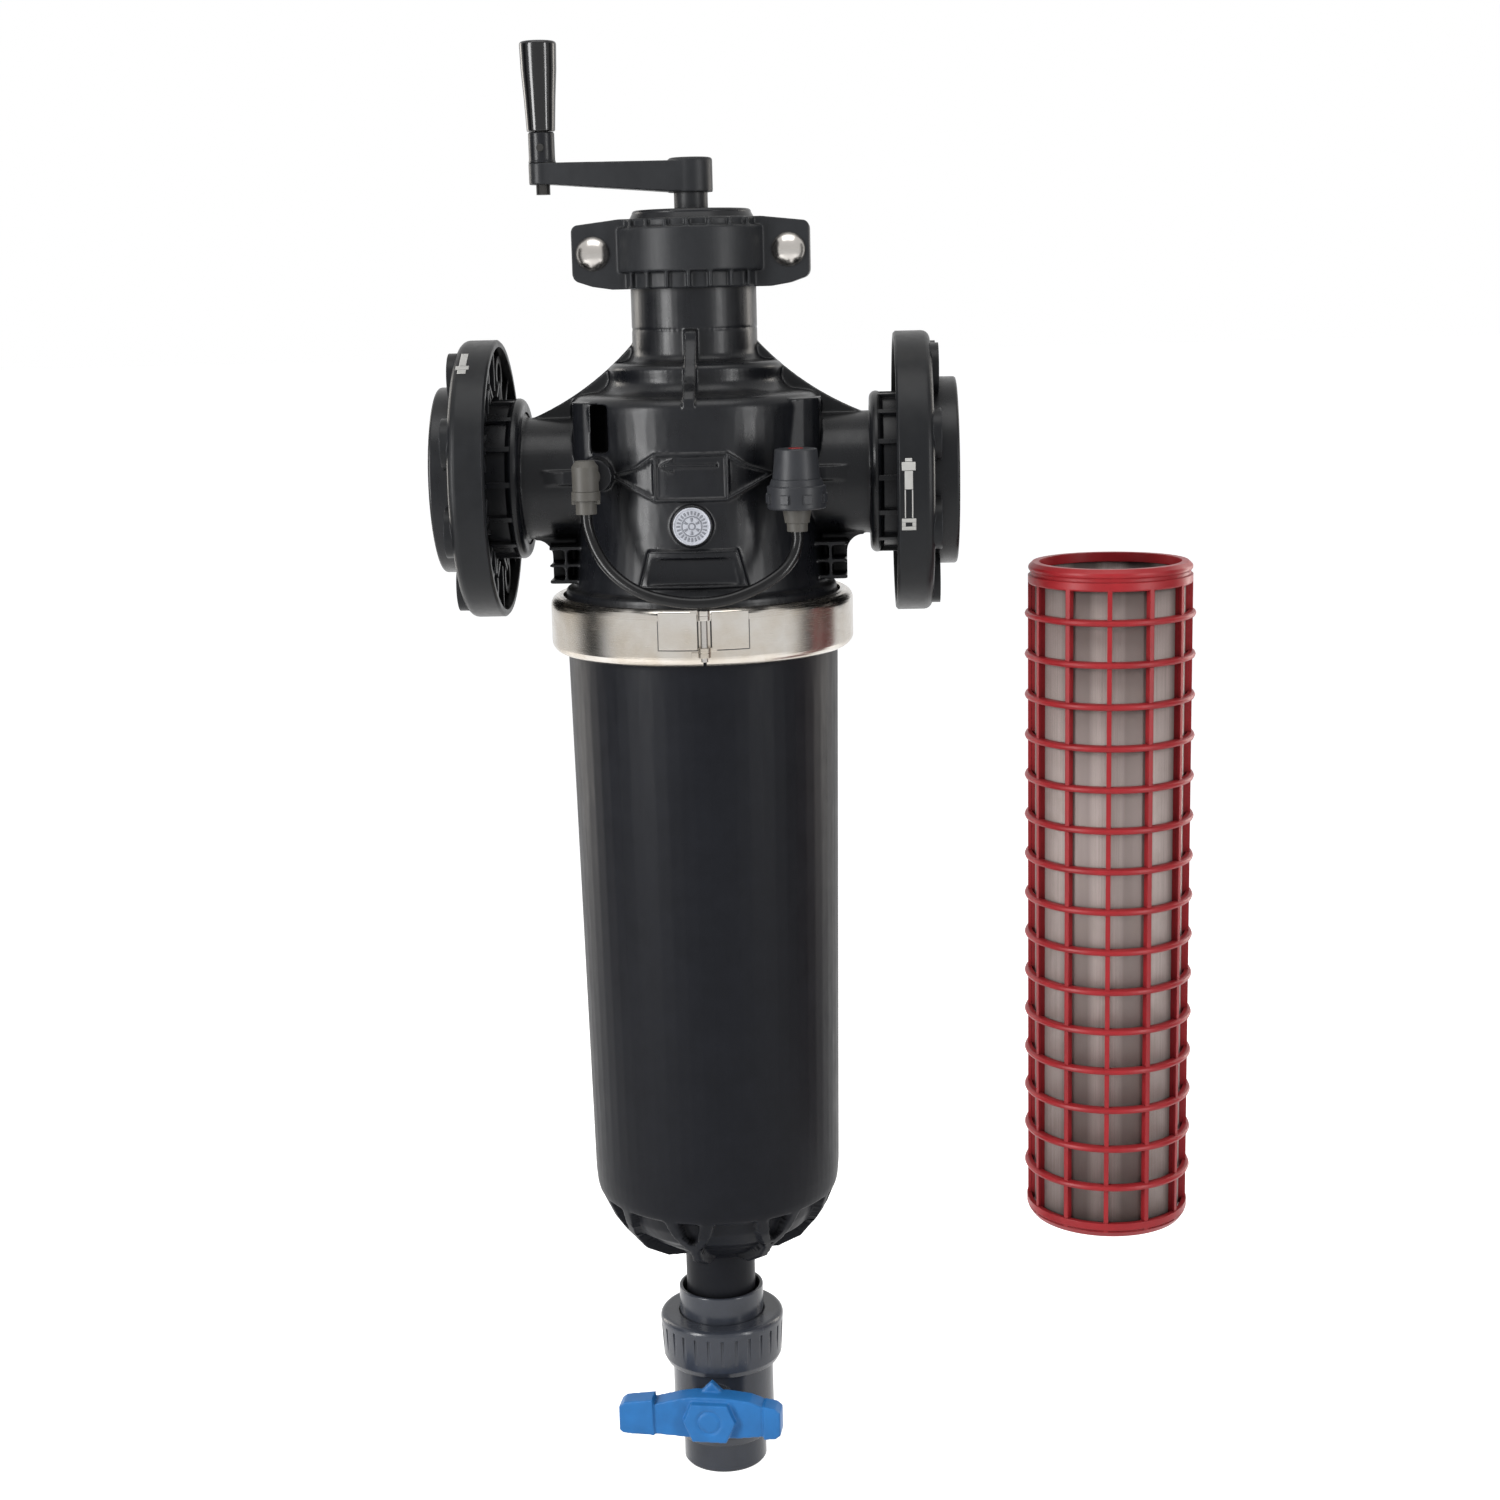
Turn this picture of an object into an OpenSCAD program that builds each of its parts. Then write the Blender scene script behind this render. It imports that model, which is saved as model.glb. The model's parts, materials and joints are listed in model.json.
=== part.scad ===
// Flanged in-line screen filter whose screen is cleaned by a hand-cranked brush.
// Every part is drawn about the vessel axis, which runs along Z, with the port axis at z = 0.
// vessel() then moves it so that the origin is the centre of the inlet bolt circle,
// on the bolting face. +Z is up to the crank, -Y is the front, +X is the inlet side.

/* [Ports] */
// Vessel axis to the bolting face of each flange
port_reach = 173; // [171:0.5:178]
// Water way through the ports
port_bore_d = 76; // [66:1:78]
// Outside of the port tubes
port_tube_d = 88; // [87:0.5:88.5]
// Outside of the two port union nuts
port_nut_d = 116; // [113:1:118]
// Outside of the loose flanges
flange_d = 200; // [198:1:206]
// Bolt circle of the flanges
flange_pcd = 160; // [158:1:162]
// Bolt holes in each flange
flange_hole_count = 8; // [4:4:8]
// Diameter of the bolt holes
flange_hole_d = 18; // [14:1:19]
// Raised sealing faces
raised_face_d = 134; // [126:1:136]

/* [Vessel] */
// Outside of the neck under the coupling
neck_d = 90; // [89:0.5:91]
// Height of the neck's top face
neck_top = 158.5; // [156:0.5:160]
// Joint between the head and the bowl
joint_z = -104; // [-105:0.5:-103.5]
// Outside of the head and bowl rims in the clamp
rim_d = 216; // [214:1:217]
// Outside of the bowl just under the clamp
bowl_top_d = 198; // [196:0.5:199]
// Outside of the bowl at the bottom of its straight wall
bowl_low_d = 186; // [184:0.5:188]
// Height where the bowl's straight wall ends
bowl_low_z = -542; // [-545:1:-540]
// Wall of the vessel
wall = 6; // [5:0.5:6.5]

/* [Screen] */
// Outside of the screen's hoops
hoop_d = 124; // [122:1:125]
// Number of hoops between the end rims
hoop_count = 15; // [9:1:17]
// Number of upright ribs
screen_rib_count = 12; // [8:1:16]
// Top of the screen in the head
screen_top = -64; // [-65:0.5:-62]
// Length of the screen
screen_len = 499; // [497:0.5:500]
// Inside of the screen mesh
mesh_d = 112; // [111.5:0.1:112.2]
// Vessel axis to the axis of the cartridge that stands beside the filter
spare_x = 298; // [296:1:330]
// How much lower the spare cartridge stands than its seat
spare_drop = 4; // [0:1:20]
// Turn of the spare cartridge about its own axis
spare_turn = -6.5; // [-15:0.5:15]

/* [Crank] */
// Radius that the grip turns on
crank_r = 105; // [90:1:130]
// Diameter of the drive shaft
shaft_d = 24; // [22:0.5:25]
// Top of the grip
grip_top = 306; // [304:1:312]
// Bristle strips on the brush
strip_count = 4; // [2:1:6]

/* [Drain] */
// Height of the ball valve's axis
valve_z = -708; // [-714:1:-702]
// Turn of the valve about the vessel axis
valve_turn = -6; // [-20:1:20]
// Pipe that glues into the outlet socket
drain_pipe_d = 50; // [48:0.5:54]
// Depth of the outlet socket
socket_depth = 31; // [25:1:31]

/* [Hidden] */
$fn = 96;

head_black = "#26272a";
coupling_grey = "#3a3b3e";
bowl_black = "#2a2b2d";
pvc_grey = "#4b4e56";
fitting_grey = "#5a5854";
screen_red = "#aa282d";
mesh_grey = "#8c8280";
steel = "#b9b4ad";
handle_blue = "#3470b2";
rubber_black = "#151515";

far = 400;
fit = 0.05;

neck_r = neck_d / 2;
rim_r = rim_d / 2;
tube_r = port_tube_d / 2;
bore_r = port_bore_d / 2;
bowl_r = bowl_top_d / 2;
bowl_low_r = bowl_low_d / 2;
hoop_r = hoop_d / 2;
mesh_r = mesh_d / 2;
mesh_t = 0.6;
shaft_r = shaft_d / 2;
flange_r = flange_d / 2;
face_r = raised_face_d / 2;
screen_low = screen_top - screen_len;

// Stations along the ports, from the vessel axis
nut_start = 124.2;
port_end = 138;
gasket_t = 1.5;
collar_end = 144.8;
nut_end = 149;
flange_start = port_reach - 31;
flange_end = port_reach - 5;
face_end = port_reach + 13.5;

// Body radius and heights of the head
body_r = 89;
body_top = 50;
well_r = 50;
well_wall = 6;
chamber_r = 82;
chamber_top = 46;

// Heights of the keys that hold the lid to the neck
key_h = 5.5;
key_gap = 8.7;
key_depth = 3;
coupling_r = 56.5;
coupling_up = 23.5;
coupling_down = 25;
ear_x = 69;

// Pressure taps on the front of the head, one to each side of the screen
tap_x = 67;
inlet_tap_z = -6;
outlet_tap_z = 7;
inlet_boss_end = 76;
outlet_boss_end = 84;
tap_hole_r = 2.5;
elbow_leg_x = -70;

// Route of the pressure sensing tube
tube_d = 8;
tube_route = [
    [-72, -97, -14], [-72, -97, -22], [-70.5, -98, -30], [-66, -101, -42], [-58, -105, -54],
    [-47, -109, -64], [-33, -113, -71.5], [-16, -116, -76], [3, -118, -78], [22, -117, -76.5],
    [39, -114, -71.5], [53, -110, -65], [64, -106, -57], [70.5, -101.5, -48], [73, -98.6, -39],
    [73, -98, -32], [73, -98, -22],
];

// Points on an arc round (cx, cy)
function arc(cx, cy, r, from, to, n = 6) =
    [for (i = [0:n]) let (a = from + (to - from) * i / n) [cx + r * cos(a), cy + r * sin(a)]];

module vessel() translate([-port_reach, 0, 0]) children();

module ring(r_out, r_in, low, high) {
    translate([0, 0, low]) difference() {
        cylinder(r = r_out, h = high - low);
        translate([0, 0, -1]) cylinder(r = r_in, h = high - low + 2);
    }
}

// Cylinder along Z between two heights
module rod(r, low, high) {
    translate([0, 0, low]) cylinder(r = r, h = high - low);
}

// Cylinder along X between two stations
module bar_x(r, from, to) {
    translate([from, 0, 0]) rotate([0, 90, 0]) cylinder(r = r, h = to - from);
}

// Cylinder that runs towards the front, from y = near to y = -away
module bar_front(r, near, away) {
    translate([0, near, 0]) rotate([90, 0, 0]) cylinder(r = r, h = away + near);
}

module around(count, phase = 0) {
    for (i = [0:count - 1]) rotate([0, 0, phase + i * 360 / count]) children();
}

// ---------------------------------------------------------------- head

// Outline of the head from its rim to the neck, radius against height
function head_outline() = concat(
    [[0, joint_z - 8], [bowl_r - wall - 0.2, joint_z - 8], [bowl_r - wall - 0.2, joint_z],
     [rim_r, joint_z], [rim_r, joint_z + 12], [99, joint_z + 19], [99, -82]],
    arc(96.5, -81, 2.5, 0, 90, 3),
    [[93, -77.5], [92, -70], [body_r, -38], [body_r - 0.5, 20]],
    arc(80.5, 50, 9.5, 0, 90, 8),
    [[79, 60]],
    arc(74, 73, 12.6, 258, 192, 6),
    arc(57, 76, 5.6, 10, 90, 5),
    arc(neck_r + 8, 90, 8, 270, 180, 6),
    [[neck_r, 104], [neck_r - 0.8, 104.4], [neck_r - 0.8, 105.6], [neck_r, 106],
     [neck_r, neck_top], [0, neck_top]]
);

// Clean water chamber round the well, open below to the bowl
module head_chamber() {
    well_low = screen_top + 3;
    rotate_extrude() polygon(concat(
        [[0, joint_z - 9], [chamber_r + 3, joint_z - 9], [chamber_r, -70]],
        arc(chamber_r - 10, chamber_top - 10, 10, 0, 90, 5),
        [[well_r + well_wall, chamber_top], [well_r + well_wall, well_low], [0, well_low]]
    ));
}

// Dirty water well, open below to the inside of the screen and above to the lid
module head_well() {
    rotate_extrude() polygon([
        [0, joint_z - 9], [well_r, joint_z - 9], [well_r, 48], [36, 66],
        [36, neck_top + 1], [0, neck_top + 1],
    ]);
}

// One curved double-web gusset from the neck to a port
module gusset() {
    sweep_x = neck_r + 151.5;
    sweep_z = 234.2;
    sweep_r = 205.7;
    module web(drop, thick) {
        rotate([90, 0, 0]) linear_extrude(thick, center = true) difference() {
            polygon([[neck_r - 4, 30], [122, 30], [122, 46], [neck_r - 4, 99]]);
            translate([sweep_x, sweep_z]) circle(r = sweep_r + drop, $fn = 180);
        }
    }
    for (side = [-1, 1]) translate([0, side * 6, 0]) web(0, 3);
    web(7, 12);
    intersection() {
        web(1.5, 14);
        union() for (x = [neck_r + 12:13:116]) translate([x, -9, 30]) cube([2.2, 18, 80]);
    }
}

// Grid lug under a port, with the saddle that meets the tube
module side_lug() {
    lug_x = 107;
    lug_low = -73.5;
    lug_high = -47;
    shelf_t = 2.5;
    intersection() {
        union() {
            for (z = [lug_low, -61.7, lug_high - shelf_t])
                translate([60, -34, z]) cube([lug_x - 60, 68, shelf_t]);
            translate([93.7, -34, lug_low]) cube([shelf_t, 68, lug_high - lug_low]);
        }
        rod(112, -90, -40);
    }
    rotate([90, 0, 0]) linear_extrude(26, center = true) polygon(concat(
        [[70, -38], [70, lug_low], [lug_x, lug_low]],
        arc(lug_x + 12, -56, 12, 180, 90, 8),
        [[lug_x + 12, -38]]
    ));
}

// Flat fin on the side of a port tube, dying out towards its end
module tube_fin(side) {
    translate([0, 0, -1.7]) linear_extrude(10) polygon([
        [84, side * (tube_r - 8)], [84, side * (tube_r + 3)], [93, side * (tube_r + 3)],
        [112, side * (tube_r - 0.8)], [112, side * (tube_r - 8)],
    ]);
}

// Fin that runs over the shoulders at the front and the back
module shoulder_rib() {
    rotate([90, 0, 90]) linear_extrude(8.5, center = true) polygon(concat(
        [[-38, 50], [-87, 50], [-86.5, 56]],
        arc(-76, 77, 17, 252, 342, 6),
        [[-58.5, 85], [-52.5, 92], [-51, 100]],
        arc(-47, 101, 4, 180, 90, 4),
        [[-38, 105]]
    ));
}

module frame_outline() {
    polygon([[-58, 6], [-38, 13], [-25, 22], [25, 22], [38, 13], [58, 6], [25, -11], [-25, -11]]);
}

// Raised line that follows the curved front of the body
module front_relief(height) {
    intersection() {
        translate([0, -60, 0]) rotate([90, 0, 0]) linear_extrude(60) children();
        rotate_extrude() polygon([
            [80, 30], [body_r - 0.5 + height, 30], [body_r + height, -38],
            [92 + height, -70], [92.5 + height, -74], [80, -74],
        ]);
    }
}

module flow_arrow() {
    translate([-18, 12.4]) square([36, 2.2]);
    polygon([[-22, 13.5], [-12, 8.5], [-12, 18.5]]);
}

module head_relief() {
    shrink = [0.94, 0.88];
    middle_z = 5.5;
    front_relief(1.7) difference() {
        frame_outline();
        translate([0, middle_z * (1 - shrink.y)]) scale(shrink) frame_outline();
    }
    front_relief(1.7) for (side = [-1, 1]) translate([side * 25 - 1, -10]) square([2, 31]);
    front_relief(1.2) flow_arrow();
    front_relief(2.2) polygon([[-31, -45], [31, -45], [38, -71], [-38, -71]]);
}

module recess_cut() {
    translate([0, -87.5, 0]) rotate([90, 0, 0]) linear_extrude(20)
        polygon([[-28, -50.5], [28, -50.5], [32, -69], [-32, -69]]);
}

// Upright slot in the front of the body, left of the flow label
module head_slot() {
    corner = 3;
    translate([0, -42, 0]) rotate([90, 0, 0]) linear_extrude(58) polygon(concat(
        arc(-58.5 - corner, 55 - corner, corner, 0, 90, 3),
        arc(-71.5 + corner, 55 - corner, corner, 90, 180, 3),
        arc(-71.5 + corner, 21.5 + corner, corner, 180, 270, 3),
        arc(-58.5 - corner, 21.5 + corner, corner, 270, 360, 3)
    ));
}

module sensing_bosses() {
    translate([-tap_x, 0, outlet_tap_z]) bar_front(12, -40, outlet_boss_end);
    translate([tap_x, 0, inlet_tap_z]) bar_front(11, -40, inlet_boss_end);
}

module filter_head() {
    color(head_black) vessel() difference() {
        union() {
            difference() {
                union() {
                    rotate_extrude($fn = 180) polygon(head_outline());
                    for (side = [0, 180]) rotate([0, 0, side]) {
                        bar_x(tube_r, 60, port_end);
                        bar_x(tube_r + 3.5, nut_start + 0.8, port_end);
                        gusset();
                        side_lug();
                        for (edge = [-1, 1]) tube_fin(edge);
                    }
                    for (side = [0, 180]) rotate([0, 0, side]) shoulder_rib();
                    head_relief();
                    sensing_bosses();
                    translate([0, 0, -28]) bar_front(14.5, -80, 91.4);
                }
                head_chamber();
            }
            intersection() {
                bar_x(tube_r, 30, 90);
                rod(body_r, -60, 60);
            }
            intersection() {
                translate([-76, -70, 17]) cube([22, 34, 40]);
                rod(body_r - 2, 0, body_top);
            }
        }
        head_well();
        bar_x(bore_r, 20, port_end + 1);
        rotate([0, 0, 180]) bar_x(bore_r, well_r + well_wall + 6, port_end + 1);
        recess_cut();
        head_slot();
        ring(neck_r + 1, neck_r - key_depth, neck_top - key_gap - key_h, neck_top - key_gap);
        translate([elbow_leg_x, 0, outlet_tap_z]) bar_front(tap_hole_r, -40, outlet_boss_end + 1);
        translate([tap_x, 0, inlet_tap_z]) bar_front(tap_hole_r, -30, inlet_boss_end + 1);
        ring(bowl_r, bowl_r - wall - 4, joint_z - 5, joint_z - 1.5);
    }
}

// ---------------------------------------------------------------- lid and coupling

module lid() {
    color(head_black) vessel() difference() {
        rotate_extrude() polygon(concat(
            [[0, neck_top - 8], [35.9, neck_top - 8], [35.9, neck_top], [neck_r, neck_top],
             [neck_r, neck_top + key_gap], [neck_r - key_depth, neck_top + key_gap],
             [neck_r - key_depth, neck_top + key_gap + key_h], [neck_r, neck_top + key_gap + key_h],
             [neck_r, neck_top + coupling_up - 1]],
            arc(40, neck_top + 27, 2.5, 0, 90, 4),
            [[0, neck_top + 29.5]]
        ));
        rod(19, neck_top + 3, far);
        rod(14, neck_top - 9, neck_top + 4);
        ring(31, 22, neck_top - 9, neck_top - 3);
    }
}

module gland_bush() {
    color("#d8d4c4") vessel() difference() {
        rod(19, neck_top + 3, neck_top + 28.5);
        rod(shaft_r + fit, neck_top, neck_top + 40);
        for (z = [8, 20]) ring(shaft_r + 2.4, 0, neck_top + z, neck_top + z + 3);
    }
}

module gland_seals() {
    color(rubber_black) vessel()
        for (z = [8, 20]) ring(shaft_r + 2.4, shaft_r + fit, neck_top + z, neck_top + z + 3);
}

// Ears that carry the bolts, seen from the front
module ear_outline() {
    polygon(concat(
        [[40, coupling_up], [50, coupling_up]],
        arc(79, 15.2, 5, 75, 0, 4),
        arc(77.5, -13.5, 6.5, 0, -62, 4),
        [[70, -22.8], [56, -coupling_down], [40, -coupling_down]]
    ));
}

// Half of the grooved coupling on the -Y side
module coupling_half() {
    low = neck_top - coupling_down;
    high = neck_top + coupling_up;
    band_low = neck_top - 13.3;
    band_high = neck_top + 17.5;
    lobe_r = coupling_r - 5;
    edge_r = 1.5;
    difference() {
        union() {
            rotate_extrude() polygon(concat(
                [[neck_r - 4, low], [lobe_r - 1, low], [lobe_r, low + 1], [lobe_r, band_low]],
                arc(coupling_r - edge_r, band_low + edge_r, edge_r, -90, 0, 3),
                arc(coupling_r - edge_r, band_high - edge_r, edge_r, 0, 90, 3),
                [[lobe_r, band_high], [lobe_r, high - 1], [lobe_r - 1, high], [neck_r - 4, high]]
            ));
            around(22, 270) translate([48, -1.25, low + 0.6])
                cube([coupling_r - 49, 2.5, high - low - 1.2]);
            for (side = [0, 1]) mirror([side, 0, 0])
                translate([0, -2, neck_top]) rotate([90, 0, 0]) linear_extrude(22) ear_outline();
        }
        rod(neck_r + 0.4, low - 1, neck_top - key_gap - key_h + 0.3);
        rod(neck_r + 0.4, neck_top + key_gap + key_h - 0.3, high + 1);
        rod(neck_r - key_depth + 0.2, low, high);
        rod(neck_r + 5, neck_top - key_gap - 0.3, neck_top + key_gap + 0.3);
        translate([-far, -2, low - 1]) cube([2 * far, far, 60]);
        for (x = [-ear_x, ear_x]) translate([x, 0, neck_top]) bar_front(5.5, 1, 40);
    }
}

module coupling_front() {
    color(coupling_grey) vessel() coupling_half();
}

module coupling_rear() {
    color(coupling_grey) vessel() rotate([0, 0, 180]) coupling_half();
}

module coupling_gasket() {
    color(rubber_black) vessel() difference() {
        ring(neck_r + 5, neck_r, neck_top - key_gap + 0.3, neck_top + key_gap - 0.3);
        ring(neck_r + 3, neck_r - 1, neck_top - 4, neck_top + 4);
    }
}

module coupling_bolts() {
    dome_r = 12;
    dome_h = 7;
    dome_curve_r = (dome_r * dome_r + dome_h * dome_h) / (2 * dome_h);
    color(steel) vessel() for (x = [-ear_x, ear_x]) translate([x, 0, neck_top]) {
        bar_front(5, 36, 24);
        intersection() {
            translate([0, -24 - dome_h + dome_curve_r, 0]) sphere(r = dome_curve_r);
            bar_front(dome_r, -24, 40);
        }
    }
}

module coupling_nuts() {
    color(steel) vessel() for (x = [-ear_x, ear_x]) translate([x, 24, neck_top]) difference() {
        rotate([-90, 0, 0]) union() {
            cylinder(r = 10.5, h = 1.6);
            translate([0, 0, 1.6]) cylinder(r = 9.8, h = 8, $fn = 6);
        }
        bar_front(5, 12, 2);
    }
}

// ---------------------------------------------------------------- crank and brush

module square_drive(side, low, high) {
    intersection() {
        rod(side * 0.62, low, high);
        translate([-side / 2, -side / 2, low]) cube([side, side, high - low]);
    }
}

hub_low = 200;
hub_high = 224;
drive_side = 15;
retainer_z = neck_top - 16;

module shaft_retainer() {
    color(steel) vessel() ring(shaft_r + 5, shaft_r - 1.5, retainer_z, retainer_z + 3);
}

module drive_shaft() {
    color(coupling_grey) vessel() difference() {
        union() {
            rod(shaft_r, -58, hub_low);
            square_drive(drive_side, hub_low, hub_high - 7);
            square_drive(12, -80, -58);
        }
        ring(shaft_r + 1, shaft_r - 1.5, retainer_z, retainer_z + 3);
        rod(3.3, hub_low, hub_high);
    }
}

module crank_arm() {
    hub_r = 15.8;
    eye_r = 9.8;
    eye_low = 207.8;
    eye_high = 223;
    color(coupling_grey) vessel() difference() {
        union() {
            rotate_extrude() polygon(concat(
                [[0, hub_low], [hub_r, hub_low]],
                arc(hub_r - 2, hub_high - 2, 2, 0, 90, 4),
                [[0, hub_high]]
            ));
            translate([-crank_r, 0, 0]) rod(eye_r, eye_low, eye_high);
            intersection() {
                rotate([90, 0, 0]) linear_extrude(60, center = true) polygon([
                    [-crank_r, eye_low + 0.4], [-12, hub_low + 0.4], [0, hub_low + 0.4],
                    [0, hub_high - 2.2], [-crank_r, eye_high - 0.3],
                ]);
                translate([0, 0, 190]) linear_extrude(60) polygon([
                    [-crank_r, 0.3 - eye_r], [0, 0.3 - hub_r], [0, hub_r - 0.3],
                    [-crank_r, eye_r - 0.3],
                ]);
            }
        }
        square_drive(drive_side, hub_low - 1, hub_high - 7);
        rod(7, hub_high - 7, hub_high + 1);
        translate([-crank_r, 0, 0]) rod(5, 200, 230);
    }
}

module crank_screw() {
    color(steel) vessel() difference() {
        union() {
            rod(6.5, hub_high - 7, hub_high - 0.5);
            rod(3.3, hub_high - 20, hub_high - 7);
        }
        translate([0, 0, hub_high - 4.5]) cylinder(r = 3.5, h = 5, $fn = 6);
    }
}

module at_grip() {
    vessel() translate([-crank_r, 0, 0]) children();
}

module grip_spindle() {
    color(steel) at_grip() {
        rod(5, 200.8, 300);
        rod(7, 300, 303);
    }
}

module grip_sleeve() {
    color(head_black) at_grip() difference() {
        rotate_extrude() polygon([[5, 223], [9.8, 223], [9.3, 225], [9.3, 243], [8.6, 244], [5, 244]]);
        translate([0, 0, 233]) bar_front(1.5, 0, 20);
    }
}

module sleeve_screw() {
    color(steel) at_grip() translate([0, 0, 233]) {
        bar_front(1.5, -5, 9.4);
        bar_front(2.6, -9.35, 10.6);
    }
}

module grip() {
    low = 244.4;
    high = grip_top;
    color("#101012") at_grip() rotate_extrude() polygon(concat(
        [[5 + fit, low], [9.2, low]],
        arc(9.2, low + 0.9, 0.9, -90, 0, 2),
        [[11.2, low + 22], [12.6, low + 42], [13.1, high - 3]],
        arc(10.9, high - 2.2, 2.2, 0, 90, 4),
        [[8, high], [8, 299.6], [5 + fit, 299.6]]
    ));
}

module brush_carrier() {
    low = screen_low + 8;
    color(pvc_grey) vessel() {
        difference() {
            union() {
                rod(10, low, -58);
                around(strip_count) translate([8, -1.5, low + 12]) cube([22, 3, -92 - low]);
                around(strip_count) translate([29, -5, low + 12]) cube([7, 10, -92 - low]);
                rod(6, low - 30, low);
            }
            square_drive(12, -80, -57);
        }
    }
}

module brush_strips() {
    low = screen_low + 20;
    color("#d9d6cf") vessel() around(strip_count)
        translate([36, -3, low]) cube([mesh_r - 1.2 - 36, 6, -80 - low]);
}

module foot_bearing() {
    color("#d8d4c4") vessel() difference() {
        union() {
            ring(56, 51, -572, -567);
            rod(11, -578, -562);
            around(3, 30) translate([8, -3, -572]) cube([45, 6, 5]);
        }
        rod(6 + fit, -590, -560);
    }
}

// ---------------------------------------------------------------- screen

// How far the mesh runs into each end rim
cap_h = 7;

// Frame with its top at z = 0
module screen_cage() {
    inner = mesh_r + mesh_t;
    rim_in = mesh_r - 4.5;
    low = -screen_len;
    first = 38;
    pitch = (screen_len - first - 38.8) / (hoop_count - 1);
    module hoop(z) {
        rotate_extrude() polygon(concat(
            [[inner, z - 2.5]],
            arc(hoop_r - 2.2, z, 2.2, -90, 90, 4),
            [[inner, z + 2.5]]
        ));
    }
    rotate_extrude() polygon(concat(
        [[inner - 2, low], [57, low], [59.6, low + 4], [58.8, low + 4.6], [60.3, low + 6],
         [60.3, low + 11], [inner, low + 11], [inner, low + cap_h], [inner - 2, low + cap_h]]
    ));
    rotate_extrude() polygon(concat(
        [[inner, -15.5], [58.9, -15.5], [59.6, -14.5], [59.6, -9.5], [58, -8.8], [58, -7.6]],
        arc(56.6, -4.1, 2.9, -60, 60, 4),
        [[56.4, 0], [rim_in, 0], [rim_in, -cap_h], [inner, -cap_h]]
    ));
    for (i = [0:hoop_count - 1]) hoop(-first - i * pitch);
    difference() {
        around(screen_rib_count) translate([inner - 1, -1.7, low + 4]) cube([3.9, 3.4, screen_len - 18.5]);
        rod(inner, low, 0);
    }
}

module screen_tube() {
    ring(mesh_r + mesh_t, mesh_r, cap_h - screen_len, -cap_h);
}

module screen_frame() {
    color(screen_red) vessel() translate([0, 0, screen_top]) screen_cage();
}

module screen_mesh() {
    color(mesh_grey) vessel() translate([0, 0, screen_top]) screen_tube();
}

module screen_seals() {
    color(rubber_black) vessel() {
        ring(58, 51, screen_top, screen_top + 3);
        ring(60, 55, screen_low - 3, screen_low);
    }
}

module spare_screen_frame() {
    color(screen_red) vessel() translate([spare_x, 0, screen_top - spare_drop])
        rotate([0, 0, spare_turn]) screen_cage();
}

module spare_screen_mesh() {
    color(mesh_grey) vessel() translate([spare_x, 0, screen_top - spare_drop]) screen_tube();
}

// ---------------------------------------------------------------- ports

// Everything below is drawn on the inlet side. The outlet is the same, turned half round.
module outlet_side() rotate([0, 0, 180]) children();

// A profile of station against radius, turned about the port axis
module turned_x(points) {
    rotate([90, 0, 90]) rotate_extrude() polygon([for (p = points) [p.y, p.x]]);
}

module port_flange() {
    hub_out = 53;
    boss_r = 14;
    web_t = 3;
    plate = flange_end - 9;
    module rib(from, to, turn) {
        rotate([turn, 0, 0]) translate([flange_start + 4, from.x, from.y])
            rotate([atan2(to.y - from.y, to.x - from.x), 0, 0])
                translate([0, 0, -web_t / 2]) cube([plate - flange_start - 3, norm(to - from), web_t]);
    }
    step = 360 / flange_hole_count;
    hole_r = flange_pcd / 2;
    difference() {
        union() {
            turned_x(concat(
                [[plate, 45], [plate, flange_r - 5], [flange_start, flange_r - 5],
                 [flange_start, flange_r - 1.5], [flange_start + 1.5, flange_r]],
                arc(flange_end - 6, flange_r - 6, 6, 90, 0, 5),
                [[flange_end, 45]]
            ));
            turned_x([[nut_end + 1, 45], [nut_end + 1, hub_out], [plate + 1, hub_out], [plate + 1, 45]]);
            for (i = [0:flange_hole_count - 1]) rotate([(i + 0.5) * step, 0, 0]) {
                translate([0, hole_r, 0]) bar_x(boss_r, flange_start + 5, plate + 1);
                intersection() {
                    translate([0, hole_r, 0]) bar_x(18, flange_end - 1, port_reach);
                    turned_x([[flange_end - 1, face_r + 1], [flange_end - 1, flange_r - 1.5],
                              [port_reach, flange_r - 1.5], [port_reach, face_r + 1]]);
                }
                for (side = [-1, 1])
                    rib([hole_r, 0], [hub_out * cos(step * 0.42), side * hub_out * sin(step * 0.42)], 0);
                rib([hub_out - 1, 0], [hole_r, 0], 0);
                rib([hub_out * cos(step / 2) + 10, hub_out * sin(step / 2) + 4],
                    [(flange_r - 3) * cos(step / 2), (flange_r - 3) * sin(step / 2)], 0);
            }
        }
        for (i = [0:flange_hole_count - 1]) rotate([(i + 0.5) * step, 0, 0])
            translate([0, hole_r, 0]) bar_x(flange_hole_d / 2, flange_start, port_reach + 1);
        bar_x(45, flange_start, port_reach + 1);
        turned_x([[flange_start - 1, 0], [flange_start - 1, 60], [nut_end + 1, 60], [nut_end + 1, 0]]);
    }
}

module port_stub() {
    turned_x(concat(
        [[port_end + gasket_t, bore_r], [port_end + gasket_t, 47.5], [collar_end, 47.5],
         [collar_end, tube_r - 0.1], [flange_end, tube_r - 0.1], [flange_end, face_r]],
        arc(face_end - 2, face_r - 2, 2, 90, 0, 3),
        [[face_end, bore_r]]
    ));
}

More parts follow.
